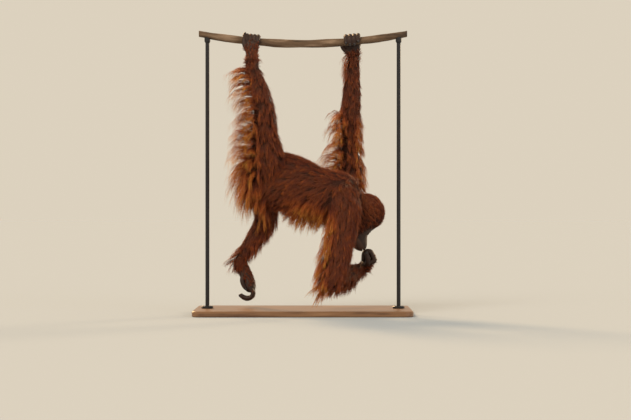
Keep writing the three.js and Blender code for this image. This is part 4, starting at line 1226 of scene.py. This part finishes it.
class ORANGUTAN_OT_stand(bpy.types.Operator):
    """Gives the stand's board and rods their finishes and soft edges"""

    bl_idname = "orangutan.stand"
    bl_label = "Stand"

    def execute(self, context):
        brown = [(0.3, rgb("5a3c26")), (0.55, rgb("7d5a3c")), (0.8, rgb("946e4c"))]
        wood = grained("stand_board", brown, 0.4, 14, (0.35, 4, 4))
        steel = material("stand_steel", rgb("2a2a2c"), 0.35, 0.6)
        for name, mat in (("stand_base", wood), ("stand_rod_fore", steel), ("stand_rod_hind", steel)):
            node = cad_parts[name]
            node.data.materials.clear()
            node.data.materials.append(mat)
            edge = node.modifiers.new("edge", "BEVEL")
            edge.width = 0.0008
            edge.segments = 2
            edge.limit_method = "ANGLE"
        return {"FINISHED"}


class ORANGUTAN_OT_stage(bpy.types.Operator):
    """Sets the pale floor, the soft studio lights and the camera"""

    bl_idname = "orangutan.stage"
    bl_label = "Stage"

    def execute(self, context):
        settings = settings_of(context)
        sky = np.array(rgb(WALL)[:3]) * WALL_LIGHT
        lit = np.zeros(3)
        for name, (way, power, colour, soft) in LAMPS.items():
            light = bpy.data.lights.new(name, "SUN")
            light.energy = power
            light.angle = math.radians(soft)
            light.color = rgb(colour)[:3]
            lamp = placed(name, light)
            lamp.rotation_euler = Vector(way).to_track_quat("Z", "Y").to_euler()
            lamp.location = Vector(way) * 4
            lit += power * np.array(rgb(colour)[:3]) * Vector(way).normalized().z / math.pi
        world = bpy.data.worlds.new("studio")
        world.use_nodes = True
        wall = world.node_tree.nodes["Background"]
        set_inputs(wall, {"Color": opaque(sky), "Strength": 1})
        # a floor of this colour looks as bright as the wall, so that no line shows where they meet
        floor_colour = opaque(sky / (sky + lit))
        bpy.ops.mesh.primitive_plane_add(size=FLOOR_SIZE, location=(0, 0, -0.0005))
        floor = context.object
        floor.name = "floor"
        paint = material("floor", floor_colour, 1.0)
        set_inputs(shader_of(paint), {"Specular IOR Level": 0})
        floor.data.materials.append(paint)
        away = settings.camera_away
        data = bpy.data.cameras.new("camera")
        data.sensor_width = 36
        data.lens = data.sensor_width * away / (PHOTO_WIDE * PIXEL * MM)
        data.clip_end = 200
        camera = placed("camera", data)
        camera.location = Vector(FRAME_MIDDLE) * MM + Vector((0, -away, 0))
        camera.rotation_euler = (math.radians(90), 0, 0)
        context.scene.camera = camera
        context.scene.world = world
        context.scene.view_settings.view_transform = "Standard"
        return {"FINISHED"}


class VIEW3D_PT_orangutan(bpy.types.Panel):
    """The model's sizes and colours, and a button for each of its pieces"""

    bl_label = "Orangutan"
    bl_space_type = "VIEW_3D"
    bl_region_type = "UI"
    bl_category = "Orangutan"

    def draw(self, context):
        layout = self.layout
        settings = settings_of(context)
        for name in OrangutanSettings.__annotations__:
            layout.prop(settings, name)
        for operator in OPERATORS:
            layout.operator(operator.bl_idname)


OPERATORS = (
    ORANGUTAN_OT_skin,
    ORANGUTAN_OT_face,
    ORANGUTAN_OT_nails,
    ORANGUTAN_OT_coat,
    ORANGUTAN_OT_perch,
    ORANGUTAN_OT_stand,
    ORANGUTAN_OT_stage,
)
CLASSES = (OrangutanSettings, *OPERATORS, VIEW3D_PT_orangutan)


def register():
    for cls in CLASSES:
        bpy.utils.register_class(cls)
    bpy.types.Scene.orangutan = PointerProperty(type=OrangutanSettings)


def unregister():
    del bpy.types.Scene.orangutan
    for cls in reversed(CLASSES):
        bpy.utils.unregister_class(cls)


def main():
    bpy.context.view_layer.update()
    register()
    bpy.ops.orangutan.skin()
    bpy.ops.orangutan.face()
    bpy.ops.orangutan.nails()
    bpy.ops.orangutan.coat()
    bpy.ops.orangutan.perch()
    bpy.ops.orangutan.stand()
    bpy.ops.orangutan.stage()


if __name__ == "__main__":
    main()
